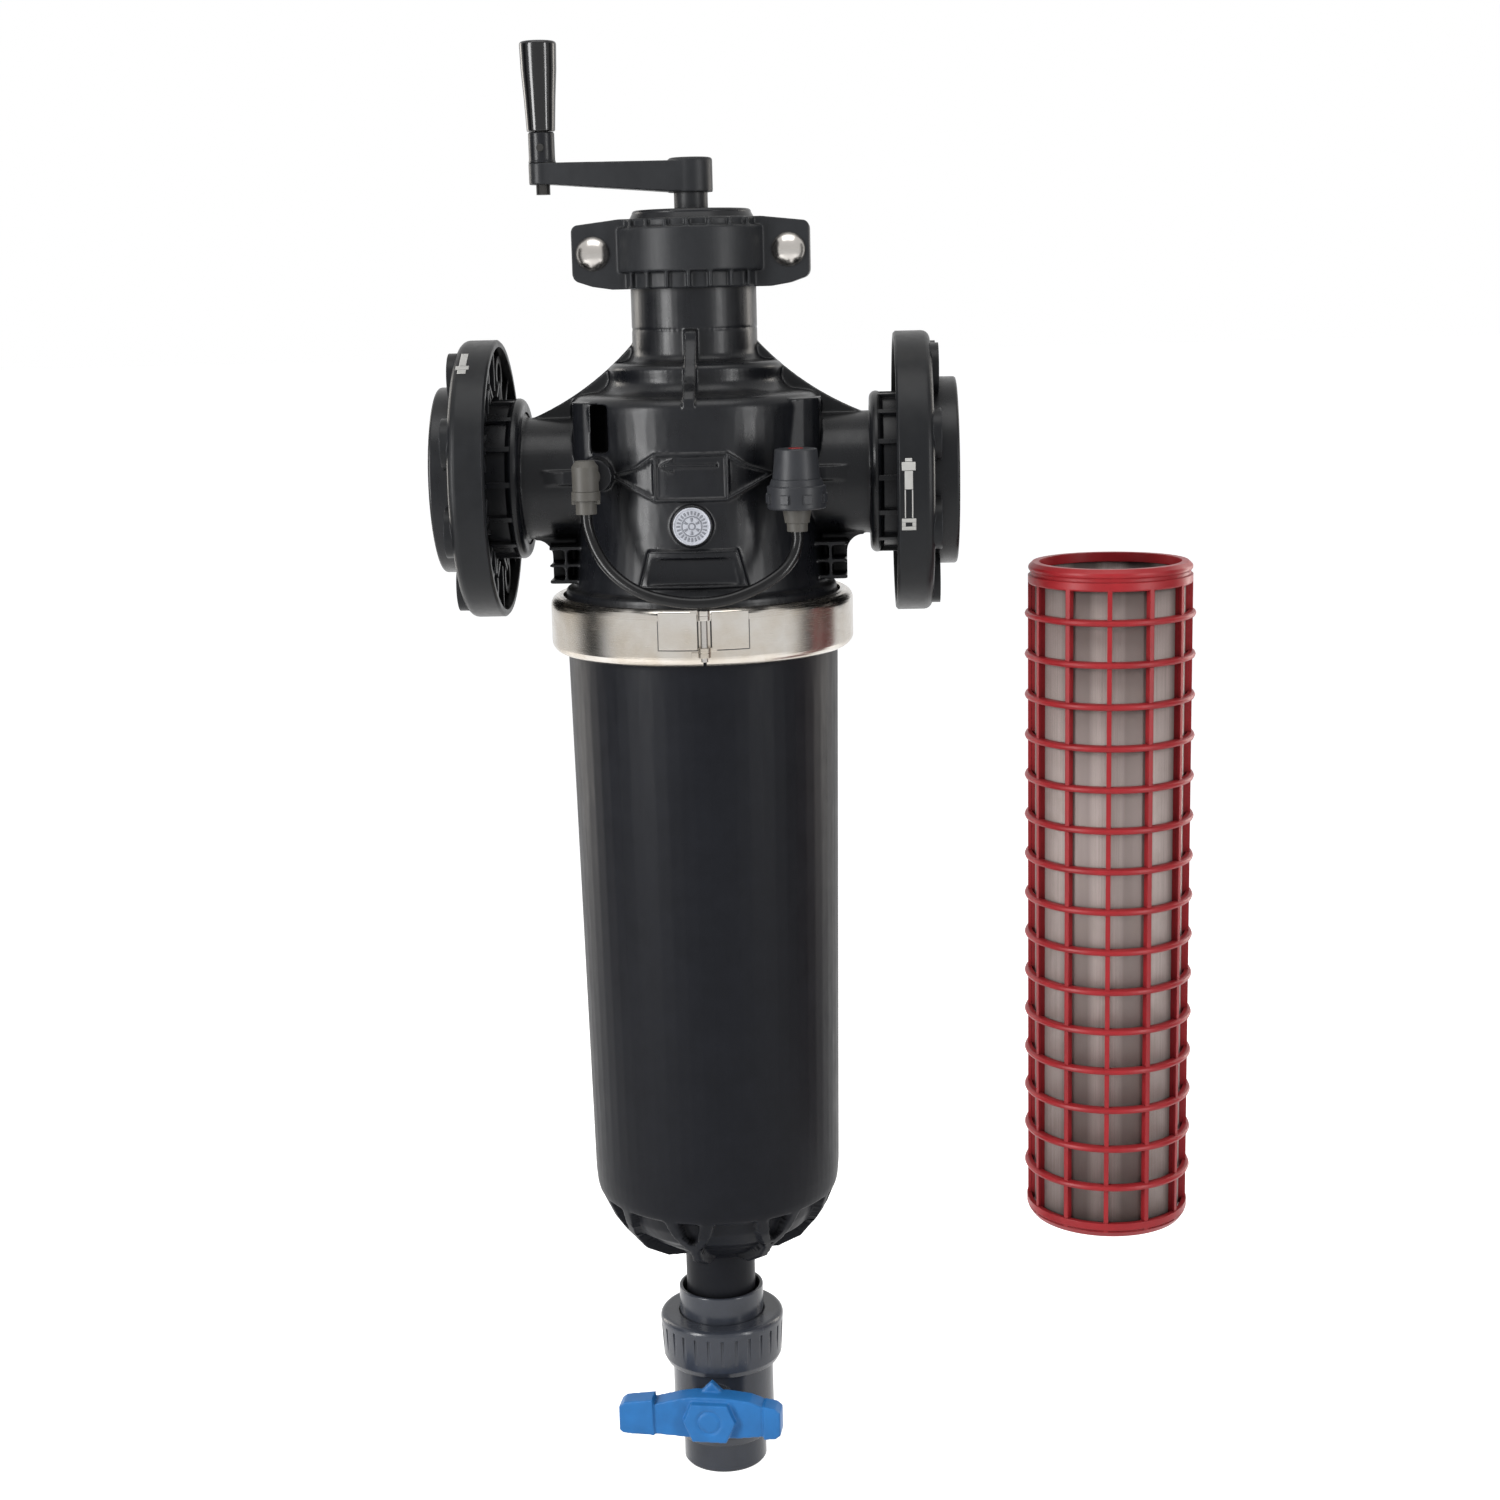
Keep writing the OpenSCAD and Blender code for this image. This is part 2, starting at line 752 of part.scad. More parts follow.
module port_union_nut() {
    nut_r = port_nut_d / 2;
    rim_round = 4.75;
    rib_count = 14;
    panel_r = nut_r - 3;
    turned_x(concat(
        [[nut_start, 48]],
        arc(nut_start + rim_round, nut_r - rim_round, rim_round, 180, 25, 8),
        [[nut_start + 2 * rim_round, panel_r], [nut_end, panel_r], [nut_end, tube_r + 0.4],
         [collar_end, tube_r + 0.4], [collar_end, 48]]
    ));
    difference() {
        for (i = [0:rib_count - 1]) rotate([i * 360 / rib_count, 0, 0])
            translate([nut_start + 5, nut_r - 6, -1.8]) cube([nut_end - nut_start - 5, 5.8, 3.6]);
        bar_x(panel_r - 1, nut_start, nut_end + 1);
    }
}

module port_gasket() {
    turned_x([[port_end, 39.5], [port_end, 46.5], [port_end + gasket_t, 46.5],
              [port_end + gasket_t, 39.5]]);
}

module inlet_flange() {
    color(head_black) vessel() port_flange();
}

module inlet_stub() {
    color(head_black) vessel() port_stub();
}

module inlet_union_nut() {
    color(head_black) vessel() port_union_nut();
}

module inlet_gasket() {
    color(rubber_black) vessel() port_gasket();
}

module outlet_flange() {
    color(head_black) vessel() outlet_side() port_flange();
}

module outlet_stub() {
    color(head_black) vessel() outlet_side() port_stub();
}

module outlet_union_nut() {
    color(head_black) vessel() outlet_side() port_union_nut();
}

module outlet_gasket() {
    color(rubber_black) vessel() outlet_side() port_gasket();
}

// ---------------------------------------------------------------- clamp

hinge_turn = 4;
band_out = 110.6;
band_t = 2;
band_half_h = 19.5;
pin_r = 2.5;
pin_high = joint_z + 20.4;
pin_low = joint_z - 12.4;
knuckle_h = 3.3;
pin_x = band_out * sin(hinge_turn);
pin_y = -band_out - 2.6;

// Section of the band: a channel whose lips hook over the two rims
function band_section() = concat(
    [[101.5, joint_z + band_half_h + 0.6]],
    arc(band_out - 7.5, joint_z + band_half_h - 6.5, 7.5, 78, 0, 6),
    arc(band_out - 7.5, joint_z - band_half_h + 6.5, 7.5, 0, -78, 6),
    [[101.5, joint_z - band_half_h - 0.6], [101.5, joint_z - band_half_h + 1.6]],
    arc(band_out - 7.5, joint_z - band_half_h + 6.5, 7.5 - band_t, -78, 0, 6),
    arc(band_out - 7.5, joint_z + band_half_h - 6.5, 7.5 - band_t, 0, 78, 6),
    [[101.5, joint_z + band_half_h - 1.6]]
);

// Plate rivetted on the band beside the hinge, ending in a knuckle round the pin
module hinge_plate(from, sweep) {
    plate_low = joint_z - 7.3;
    plate_high = joint_z + 18.6;
    rotate([0, 0, hinge_turn + from]) rotate_extrude(angle = sweep)
        translate([band_out - 0.8, plate_low]) square([2.3, plate_high - plate_low]);
}

// Loop of a hinge plate round the pin, with the tab that reaches it
module knuckle(low, tab_from) {
    high = low + knuckle_h;
    difference() {
        translate([pin_x, pin_y, 0]) rod(pin_r + 1.9, low, high);
        translate([pin_x, pin_y, 0]) rod(pin_r, low - 1, high + 1);
        rod(band_out + 0.3, low - 1, high + 1);
    }
    rotate([0, 0, hinge_turn + tab_from]) rotate_extrude(angle = 3)
        translate([band_out - 0.6, low + 0.2]) square([2, high - low - 0.4]);
}

module band_half(turn) {
    rotate([0, 0, hinge_turn + turn]) rotate_extrude(angle = 178.8) polygon(band_section());
}

// Lug at the rear, bent outwards, that takes the closing bolt
module closing_lug(side) {
    rotate([0, 0, hinge_turn]) difference() {
        union() {
            translate([side * 9 - 1.5, band_out - 3, joint_z - 14]) cube([3, 25, 28]);
            translate([side > 0 ? 9 : -21, band_out - 2.2, joint_z - 14]) cube([12, 3.6, 28]);
        }
        rod(band_out - 1, joint_z - 15, joint_z + 15);
        translate([side * 9, band_out + 13, joint_z]) bar_x(4.5, -5, 5);
    }
}

module clamp_left() {
    color(steel) vessel() {
        band_half(90.6);
        hinge_plate(253.5, 14);
        knuckle(pin_high - knuckle_h, 265.2);
        knuckle(pin_low, 265.2);
        closing_lug(-1);
    }
}

module clamp_right() {
    color(steel) vessel() {
        band_half(270.6);
        hinge_plate(272.6, 13.4);
        knuckle(pin_high - 2 * knuckle_h - 0.2, 271.4);
        knuckle(pin_low + knuckle_h + 0.2, 271.4);
        closing_lug(1);
    }
}

module clamp_hinge_pin() {
    color(steel) vessel() translate([pin_x, pin_y, 0]) rod(pin_r, pin_low - 3, pin_high);
}

module at_closing_bolt() {
    vessel() rotate([0, 0, hinge_turn]) translate([0, band_out + 13, joint_z]) children();
}

module clamp_bolt() {
    color(steel) at_closing_bolt() {
        bar_x(4, -10.5, 26);
        translate([-16.5, 0, 0]) rotate([0, 90, 0]) cylinder(r = 7.5, h = 6, $fn = 6);
    }
}

module clamp_nut() {
    color(steel) at_closing_bolt() difference() {
        union() {
            bar_x(8, 10.5, 12);
            translate([12, 0, 0]) rotate([0, 90, 0]) cylinder(r = 7.5, h = 7, $fn = 6);
        }
        bar_x(4, 10, 20);
    }
}

// ---------------------------------------------------------------- bowl

module bowl_seal() {
    color(rubber_black) vessel()
        ring(bowl_r - wall, bowl_r - wall - 4, joint_z - 5, joint_z - 1.5);
}

// Smooth surface of the dome that the ribs reach, radius against height over the ledge
function rib_outline() = [
    [90.8, 0.5], [84.5, -14], [78, -24], [65, -40], [47, -50], [34, -52], [0, -52],
];

// Eight ribs, each a V that closes into one stem
module dome_ribs() {
    intersection() {
        translate([0, 0, bowl_low_z])
            rotate_extrude($fn = 144) polygon(concat([[0, -8]], rib_outline()));
        translate([0, 0, bowl_low_z - 60]) linear_extrude(64) around(8, -11.5) {
            for (lean = [-1, 1]) translate([74, 0]) rotate(lean * 45)
                translate([0, -3.5]) square([34, 7]);
            translate([20, -4]) square([58, 8]);
        }
    }
}

module bowl() {
    low = bowl_low_z;
    color(bowl_black) vessel() difference() {
        union() {
            rotate_extrude($fn = 180) polygon([
                [0, joint_z], [rim_r, joint_z], [rim_r, joint_z - 12], [bowl_r + 1, joint_z - 19],
                [bowl_r, joint_z - 22], [bowl_low_r + 0.3, low + 18], [bowl_low_r - 0.2, low + 11],
                [bowl_low_r - 0.8, low + 5.5], [bowl_low_r - 2, low + 1], [bowl_low_r - 3, low],
                [bowl_low_r - 5, low], [83, low - 14], [76, low - 25], [73, low - 26.5],
                [62, low - 34], [36, low - 46], [34, low - 50], [0, low - 50],
            ]);
            dome_ribs();
            rod(26.7, -655, low - 40);
            rod(31, low - 52, low - 46);
        }
        rotate_extrude() polygon([
            [0, joint_z + 1], [bowl_r - wall, joint_z + 1], [bowl_r - wall, joint_z - 22],
            [bowl_low_r - wall, low + 24], [82.5, low + 6], [77, low - 7], [68, low - 18],
            [61, low - 20.5], [61, screen_low - 3], [56, screen_low - 3], [56, low - 30],
            [51, low - 32], [40, low - 37], [21, low - 41], [21, -700], [0, -700],
        ]);
    }
}

// ---------------------------------------------------------------- drain valve

// The ball, its seats and the room they fill
ball_r = 25;
ball_bore_r = 17;
seat_r = 27;
way_r = 19;
seat_from = 12;
seat_to = 20;
stem_r = 8;
stem_seal_r = 10.5;

module at_valve() {
    vessel() rotate([0, 0, valve_turn]) children();
}

module union_collar() {
    color(pvc_grey) vessel() difference() {
        union() {
            rotate_extrude() polygon(concat(
                [[26.7, -655], [32.5, -655]],
                arc(31.5, -628, 1, 0, 90, 3),
                [[30.2, -627], [29, -629.5], [29, -637], [26.7, -637]]
            ));
            rod(40, -658, -652);
        }
        rod(26.7, -655, -600);
        rod(21, -660, -650);
    }
}

module union_nut() {
    nut_r = 47.75;
    color(pvc_grey) vessel() difference() {
        rotate_extrude() polygon(concat(
            [[41, -684], [42.5, -686], [44, -686], [nut_r - 1.6, -681.5]],
            arc(nut_r - 4, -652, 4, 0, 90, 4),
            [[33.2, -648], [33.2, -652], [41, -652]]
        ));
        around(28, 3) translate([nut_r - 1.3, -1.2, -679]) cube([4, 2.4, 24]);
    }
}

module union_seal() {
    color(rubber_black) vessel() ring(36, 23, -660, -658);
}

module valve_body() {
    socket_low = -771;
    ball_low = valve_z - seat_to;
    color(pvc_grey) at_valve() difference() {
        union() {
            rotate_extrude() polygon([
                [0, -660], [40.5, -660], [40.5, -684.5], [39, -686], [39, -740],
                [36, -747], [32.2, -749], [32.2, socket_low + 1.5], [31, socket_low], [0, socket_low],
            ]);
            translate([0, 0, valve_z]) bar_front(15, 0, 50);
        }
        rod(seat_r, ball_low, -650);
        rod(way_r, -780, ball_low + 1);
        rod(drain_pipe_d / 2 + 0.1, socket_low - 1, socket_low + socket_depth);
        translate([0, 0, valve_z]) bar_front(stem_r + fit, 0, 60);
        translate([0, 0, valve_z]) bar_front(stem_seal_r, -42, 45);
    }
}

module seat_carrier() {
    color(pvc_grey) at_valve() difference() {
        ring(seat_r, way_r, valve_z + seat_to, -662);
        for (side = [-1, 1]) translate([side * 24 - 3, -4, -668]) cube([6, 8, 8]);
    }
}

module ball_seats() {
    color("#eeebe2") at_valve() difference() {
        union() {
            ring(seat_r, way_r, valve_z + seat_from, valve_z + seat_to);
            ring(seat_r, way_r, valve_z - seat_to, valve_z - seat_from);
        }
        translate([0, 0, valve_z]) sphere(r = ball_r + 0.3);
    }
}

// Drawn closed: the bore lies across the flow
module valve_ball() {
    color("#5a5d64") at_valve() translate([0, 0, valve_z]) difference() {
        rotate([0, 90, 0]) sphere(r = ball_r);
        bar_x(ball_bore_r, -30, 30);
        translate([-3, -30, -12]) cube([6, 10, 24]);
    }
}

module valve_stem() {
    color(pvc_grey) at_valve() translate([0, 0, valve_z]) {
        bar_front(stem_r, -26, 51);
        translate([-6, -66, -6]) cube([12, 15.1, 12]);
        intersection() {
            translate([-3, -26, -7]) cube([6, 6, 14]);
            bar_front(stem_r, 0, 40);
        }
    }
}

module stem_seal() {
    color(rubber_black) at_valve() translate([0, 0, valve_z]) difference() {
        bar_front(stem_seal_r, -42, 45);
        bar_front(stem_r + fit, -40, 50);
    }
}

// Lever seen from the front: a hub, a pointer above it and two unequal wings
module valve_handle() {
    back = 51.6;
    front = 74;
    module slab(from, to) {
        translate([0, -from, 0]) rotate([90, 0, 0]) linear_extrude(to - from) children();
    }
    color(handle_blue) at_valve() translate([0, 0, valve_z]) difference() {
        union() {
            slab(back, front - 6) polygon([
                [-44, 10], [-24, 15.5], [-12, 17.5], [12, 17.5], [30, 15.5], [42, 11],
                [44, -12], [20, -15], [-20, -15.5], [-44, -14],
            ]);
            slab(back + 2, front - 4) polygon([
                [-70, 8], [-66, 11.5], [-44, 14.5], [-43, -14.5], [-67, -13.5], [-70, -11],
            ]);
            slab(back + 2, front - 4) polygon([
                [41, 13], [50, 11.5], [54, 8], [54, -10], [50, -13], [41, -14],
            ]);
            slab(back, back + 7) polygon([[-13, 12], [0, 25.5], [13, 12]]);
            slab(back, front) polygon([
                [-18, 4], [-14, 14], [14, 14], [18, 4], [20, 0], [18, -5], [13, -16], [-13, -16],
                [-18, -5], [-20, 0],
            ]);
        }
        translate([-6, -66, -6]) cube([12, 20, 12]);
        difference() {
            slab(front - 1, front + 1) circle(r = 10);
            slab(front - 2, front + 2) circle(r = 7.5);
        }
        for (x = [-41, 21]) translate([x, -back - 14, -9]) cube([20, 15, 18]);
    }
}

// ---------------------------------------------------------------- pressure indicator

elbow_x = tube_route[0].x;
elbow_y = tube_route[0].y;
gauge_x = 73;
gauge_y = -98;

module elbow_fitting() {
    color(fitting_grey) vessel() difference() {
        union() {
            translate([elbow_leg_x, 0, outlet_tap_z]) bar_front(7, -outlet_boss_end, 100);
            translate([elbow_x, elbow_y, 0]) {
                rod(9.2, -2, 15);
                translate([0, 0, 15]) cylinder(r1 = 9.2, r2 = 6.4, h = 4);
                rod(6.2, -12, -2);
            }
        }
        translate([elbow_x, elbow_y, 0]) rod(tap_hole_r, -13, outlet_tap_z);
        translate([elbow_leg_x, 0, outlet_tap_z]) bar_front(tap_hole_r, -80, 97);
    }
}

module elbow_nut() {
    color(fitting_grey) vessel() translate([elbow_x, elbow_y, 0]) difference() {
        union() {
            rod(9.9, -8, -2);
            rod(7.3, -17.5, -8);
            for (x = [-9.7, 6.6]) translate([x, -3, -10.7]) cube([3.1, 6, 5]);
        }
        rod(6.2, -12, -1);
        rod(tube_d / 2, -20, -11);
    }
}

module indicator_base() {
    color(head_black) vessel() difference() {
        union() {
            translate([tap_x, 0, inlet_tap_z]) bar_front(8, -inlet_boss_end, 90);
            translate([gauge_x, gauge_y, 0]) {
                rotate_extrude() polygon(concat(
                    [[0, -16.4]],
                    arc(18.8, -14.9, 1.5, -90, 0, 3),
                    arc(19.3, -1.5, 1, 0, 90, 3),
                    [[18.6, -0.5], [17.3, 4], [0, 4]]
                ));
                around(8, 22.5) translate([19, -3, -12]) cube([2.6, 6, 6]);
                rod(6.2, -24, -16);
            }
        }
        translate([gauge_x, gauge_y, 0]) {
            rod(9, -8, 5);
            rod(tap_hole_r, -25, -7);
            rod(tube_d / 2, -25, -22);
        }
        translate([tap_x, 0, inlet_tap_z]) bar_front(tap_hole_r, -70, 92);
    }
}

// Cover with a window hole over the button
module indicator_cap() {
    color("#303236") vessel() translate([gauge_x, gauge_y, 0]) difference() {
        rotate_extrude() polygon(concat(
            [[0, 4], [16.4, 4]],
            arc(13.6, 23.5, 1, 0, 90, 3),
            [[0, 24.5]]
        ));
        rod(8, 3, 20);
        rod(5 + fit, 3, 30);
    }
}

module indicator_button() {
    color("#b3211f") vessel() translate([gauge_x, gauge_y, 0]) {
        rod(5, 8, 24.9);
        rod(7.4, 7, 10);
    }
}

module indicator_nut() {
    color(fitting_grey) vessel() translate([gauge_x, gauge_y, 0]) difference() {
        rotate_extrude() polygon([
            [0, -32], [7, -32], [7.4, -26], [8.5, -26], [9.9, -17], [0, -17],
        ]);
        rod(6.2, -24, -16);
        rod(tube_d / 2, -33, -23);
    }
}

// Points on a smooth curve through the route, a few to each stretch
function spline(p, i, t) =
    let (a = p[max(i - 1, 0)], b = p[i], c = p[i + 1], d = p[min(i + 2, len(p) - 1)])
    0.5 * (2 * b + (c - a) * t + (2 * a - 5 * b + 4 * c - d) * t * t
        + (3 * b - a - 3 * c + d) * t * t * t);

function along(p, steps) = concat(
    [for (i = [0:len(p) - 2], k = [0:steps - 1]) spline(p, i, k / steps)], [p[len(p) - 1]]);

// Closed tube swept through the points of a route that stays off the Y direction
module swept_tube(path, r, sides) {
    n = len(path);
    function ahead(i) = let (v = path[min(i + 1, n - 1)] - path[max(i - 1, 0)]) v / norm(v);
    function across(i) = let (v = cross(ahead(i), [0, 1, 0])) v / norm(v);
    points = [for (i = [0:n - 1], k = [0:sides - 1])
        let (a = k * 360 / sides, u = across(i), w = cross(ahead(i), u))
        path[i] + r * (u * cos(a) + w * sin(a))];
    sides_list = [for (i = [0:n - 2], k = [0:sides - 1]) let (m = (k + 1) % sides)
        [i * sides + k, i * sides + m, (i + 1) * sides + m, (i + 1) * sides + k]];
    ends = [[for (k = [sides - 1:-1:0]) k], [for (k = [0:sides - 1]) (n - 1) * sides + k]];
    polyhedron(points = points, faces = concat(sides_list, ends), convexity = 6);
}

module sensing_tube() {
    color("#1b1b1d") vessel() swept_tube(along(tube_route, 1), tube_d / 2, 10);
}

module badge() {
    color("#c4c5ca") vessel() translate([0, 0, -28]) {
        bar_front(13, -91.4, 92.4);
        difference() {
            bar_front(13, -92, 92.9);
            bar_front(12, -90, 94);
        }
    }
}

filter_head();
lid();
coupling_front();
coupling_rear();
coupling_gasket();
coupling_bolts();
coupling_nuts();
gland_bush();
gland_seals();
shaft_retainer();
drive_shaft();
crank_arm();
crank_screw();
grip_spindle();
grip_sleeve();
sleeve_screw();
grip();
brush_carrier();
brush_strips();
foot_bearing();
screen_frame();
screen_mesh();
screen_seals();
spare_screen_frame();
spare_screen_mesh();
inlet_flange();
inlet_stub();
inlet_union_nut();
inlet_gasket();
outlet_flange();
outlet_stub();
outlet_union_nut();
outlet_gasket();
clamp_left();
clamp_right();
clamp_hinge_pin();
clamp_bolt();
clamp_nut();
bowl_seal();
bowl();
union_collar();
union_nut();
union_seal();
valve_body();
seat_carrier();
ball_seats();
valve_ball();
valve_stem();
stem_seal();
valve_handle();
elbow_fitting();
elbow_nut();
indicator_base();
indicator_cap();
indicator_button();
indicator_nut();
sensing_tube();
badge();
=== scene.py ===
"""Looks of a flanged in-line screen filter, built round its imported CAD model.

Everything is in metres in the part's frame: the origin is the inlet bolt circle's centre, +Z runs up
the vessel to the crank, and -Y is the front. The vessel's axis stands at x = AXIS. Numbers that go
through at() are in millimetres from that axis.
"""
import json
import math

import bmesh
import bpy
from mathutils import Matrix, Vector

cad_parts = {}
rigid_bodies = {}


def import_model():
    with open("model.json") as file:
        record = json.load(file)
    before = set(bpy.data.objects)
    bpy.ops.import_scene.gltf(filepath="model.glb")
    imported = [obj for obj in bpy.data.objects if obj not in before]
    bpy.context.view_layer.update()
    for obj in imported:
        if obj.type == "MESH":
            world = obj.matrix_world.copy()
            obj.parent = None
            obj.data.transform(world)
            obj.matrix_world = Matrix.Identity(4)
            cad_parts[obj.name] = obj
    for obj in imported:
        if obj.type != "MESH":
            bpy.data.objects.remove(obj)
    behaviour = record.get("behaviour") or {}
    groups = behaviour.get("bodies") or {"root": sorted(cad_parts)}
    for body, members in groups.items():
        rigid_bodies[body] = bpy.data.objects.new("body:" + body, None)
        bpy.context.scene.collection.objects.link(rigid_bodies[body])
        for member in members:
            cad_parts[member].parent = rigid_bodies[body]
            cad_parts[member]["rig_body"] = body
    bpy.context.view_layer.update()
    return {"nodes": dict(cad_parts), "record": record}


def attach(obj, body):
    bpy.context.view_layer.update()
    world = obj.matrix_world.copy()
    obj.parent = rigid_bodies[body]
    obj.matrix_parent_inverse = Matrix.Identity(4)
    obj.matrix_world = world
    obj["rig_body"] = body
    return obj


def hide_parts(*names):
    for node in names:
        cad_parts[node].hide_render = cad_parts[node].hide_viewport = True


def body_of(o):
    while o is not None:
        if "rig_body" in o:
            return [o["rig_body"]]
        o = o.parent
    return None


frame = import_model()
nodes = frame["nodes"]
AXIS = -0.173
SPARE_X = 298      # from the vessel's axis to the spare cartridge's, in millimetres
JOINT_Z = -104     # middle of the band clamp, in millimetres
BOWL_LOW_Z = -542  # where the bowl's dome begins, in millimetres
FLOOR_Z = -0.7712
WHITE = (1, 1, 1, 1)


def at(x, y, z):
    """A point given in millimetres from the vessel's axis."""
    return Vector((AXIS + x / 1000, y / 1000, z / 1000))


def link(obj):
    bpy.context.scene.collection.objects.link(obj)
    return obj


def piece(name, form):
    """An object in the scene with the mesh of a bmesh, which is freed."""
    mesh = bpy.data.meshes.new(name)
    form.to_mesh(mesh)
    form.free()
    return link(bpy.data.objects.new(name, mesh))


def sweep(form, rows, closed=False):
    """Joins closed rows of points. The last row meets the first one, or both ends get a cap."""
    faces = [] if closed else [form.faces.new(rows[0]), form.faces.new(rows[-1][::-1])]
    for a, b in zip(rows, rows[1:] + rows[:1] if closed else rows[1:]):
        for i in range(len(a)):
            k = (i + 1) % len(a)
            faces.append(form.faces.new([a[i], b[i], b[k], a[k]]))
    bmesh.ops.recalc_face_normals(form, faces=faces)
    return faces


# ------------------------------------------------------------------ camera

IMAGE_SIDE = 1500
FOCAL_PX = 2330


def make_camera(place, pitch, yaw, roll):
    """The photograph's camera. Its angles, in degrees, are down, to the right, and about the view."""
    pitch, yaw, roll = (math.radians(a) for a in (pitch, yaw, roll))
    ahead = Vector((math.sin(yaw) * math.cos(pitch), math.cos(yaw) * math.cos(pitch), -math.sin(pitch)))
    level = Vector((math.cos(yaw), -math.sin(yaw), 0))
    above = level.cross(ahead)
    right = level * math.cos(roll) + above * math.sin(roll)
    up = above * math.cos(roll) - level * math.sin(roll)
    data = bpy.data.cameras.new("camera")
    data.sensor_width = 36
    data.lens = FOCAL_PX / IMAGE_SIDE * data.sensor_width
    camera = link(bpy.data.objects.new("camera", data))
    turn = Matrix((right, up, -ahead)).transposed().to_4x4()
    camera.matrix_world = Matrix.Translation(place) @ turn
    bpy.context.scene.camera = camera


make_camera(Vector((AXIS + 0.106, -1.697, 0.135)), pitch=11.3, yaw=-2.48, roll=-1.39)

# ------------------------------------------------------------------ pressure sensing hose

HOSE_D = 0.008
HOSE_STEPS = 5
HOSE_ROUTE = [
    (-72, -97, -14), (-72, -97, -22), (-70.5, -98, -30), (-66, -101, -42), (-58, -105, -54),
    (-47, -109, -64), (-33, -113, -71.5), (-16, -116, -76), (3, -117.6, -78), (22, -116.7, -76.5),
    (39, -114, -71.5), (53, -110, -65), (64, -106, -57), (70.5, -101.5, -48), (73, -98.6, -39),
    (73, -98, -32), (73, -98, -22),
]


def smooth_path(points, steps):
    """Points on a smooth curve through a route, a few to each stretch."""
    path = []
    for i in range(len(points) - 1):
        a, b = points[max(i - 1, 0)], points[i]
        c, d = points[i + 1], points[min(i + 2, len(points) - 1)]
        for k in range(steps):
            t = k / steps
            path.append(0.5 * (2 * b + (c - a) * t + (2 * a - 5 * b + 4 * c - d) * t ** 2
                               + (3 * b - a - 3 * c + d) * t ** 3))
    return path + [points[-1]]


def make_hose(path, radius, sides=20):
    """A closed tube along a path, with no twist."""
    form = bmesh.new()
    turns = [2 * math.pi * k / sides for k in range(sides)]
    across = Vector((0, 1, 0))
    rings = []
    for i, place in enumerate(path):
        ahead = (path[min(i + 1, len(path) - 1)] - path[max(i - 1, 0)]).normalized()
        across = (across - ahead * across.dot(ahead)).normalized()
        other = ahead.cross(across)
        rings.append([form.verts.new(place + (across * math.cos(a) + other * math.sin(a)) * radius)
                      for a in turns])
    for face in sweep(form, rings):
        face.smooth = len(face.verts) == 4
    return piece("pressure_hose", form)


hose_path = smooth_path([at(*point) for point in HOSE_ROUTE], HOSE_STEPS)
hose = make_hose(hose_path, HOSE_D / 2)
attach(hose, "root")
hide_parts("sensing_tube")

# ------------------------------------------------------------------ materials


def linear(red, green, blue):
    """An sRGB colour in 0 to 255 as the linear colour that Blender uses."""
    def one(v):
        v /= 255
        return v / 12.92 if v <= 0.04045 else ((v + 0.055) / 1.055) ** 2.4
    return (one(red), one(green), one(blue), 1)


def shade(colour, factor):
    return (*(min(1, c * factor) for c in colour[:3]), 1)


class Net:
    """One procedural material, with a bsdf and the object's own coordinates at hand."""

    def __init__(self, name):
        self.material = bpy.data.materials.new(name)
        self.material.use_nodes = True
        tree = self.material.node_tree
        tree.nodes.clear()
        self.nodes, self.links = tree.nodes, tree.links
        self.bsdf = self.nodes.new("ShaderNodeBsdfPrincipled")
        self.out = self.nodes.new("ShaderNodeOutputMaterial")
        self.links.new(self.bsdf.outputs[0], self.out.inputs[0])
        self.place = self.nodes.new("ShaderNodeTexCoord").outputs["Object"]

    def put(self, socket, value):
        """Links a socket to another one, or sets the number or colour it holds."""
        if isinstance(value, bpy.types.NodeSocket):
            self.links.new(value, socket)
        else:
            socket.default_value = value

    def add(self, kind, out=0, **values):
        """A node of that kind. Values are its settings, or what its sockets hold or are linked to."""
        node = self.nodes.new("ShaderNode" + kind)
        for key, value in values.items():
            if hasattr(node, key) and key not in ("inputs", "Scale"):
                setattr(node, key, value)
                continue
            name = int(key[1:]) if key[0] == "i" and key[1:].isdigit() else key.replace("_", " ")
            self.put(node.inputs[name], value)
        return node.outputs[out]

    def math(self, operation, a, b=0.0):
        return self.add("Math", operation=operation, i0=a, i1=b)

    def noise(self, size, detail=3.0, rough=0.5, stretch=(1, 1, 1)):
        """Grey noise whose features are about size metres, stretched along the axes."""
        place = self.place
        if stretch != (1, 1, 1):
            place = self.add("Mapping", Vector=place, Scale=tuple(1 / s for s in stretch))
        return self.add("TexNoise", Vector=place, Scale=1 / size, Detail=detail, Roughness=rough)

    def span(self, value, low, high, to_low=0.0, to_high=1.0):
        """Maps a value from one span to another and holds it inside."""
        return self.add("MapRange", Value=value, From_Min=low, From_Max=high, To_Min=to_low,
                        To_Max=to_high)

    def tint(self, amount, a, b):
        """A mix of two colours."""
        node = self.nodes.new("ShaderNodeMix")
        node.data_type = "RGBA"
        for socket, value in ((0, amount), (6, a), (7, b)):
            self.put(node.inputs[socket], value)
        return node.outputs[2]

    def bump(self, height, distance, **normal):
        return self.add("Bump", Height=height, Distance=distance, Strength=1.0, **normal)

    def about(self, axis_x):
        """The angle about an upright axis, and the height."""
        moved = self.add("VectorMath", 0, operation="SUBTRACT", i0=self.place, i1=(axis_x, 0, 0))
        split = self.nodes.new("ShaderNodeSeparateXYZ")
        self.links.new(moved, split.inputs[0])
        return self.math("ARCTAN2", split.outputs[1], split.outputs[0]), split.outputs[2]

    def set(self, **values):
        for key, value in values.items():
            self.put(self.bsdf.inputs[key.replace("_", " ")], value)
        return self.material


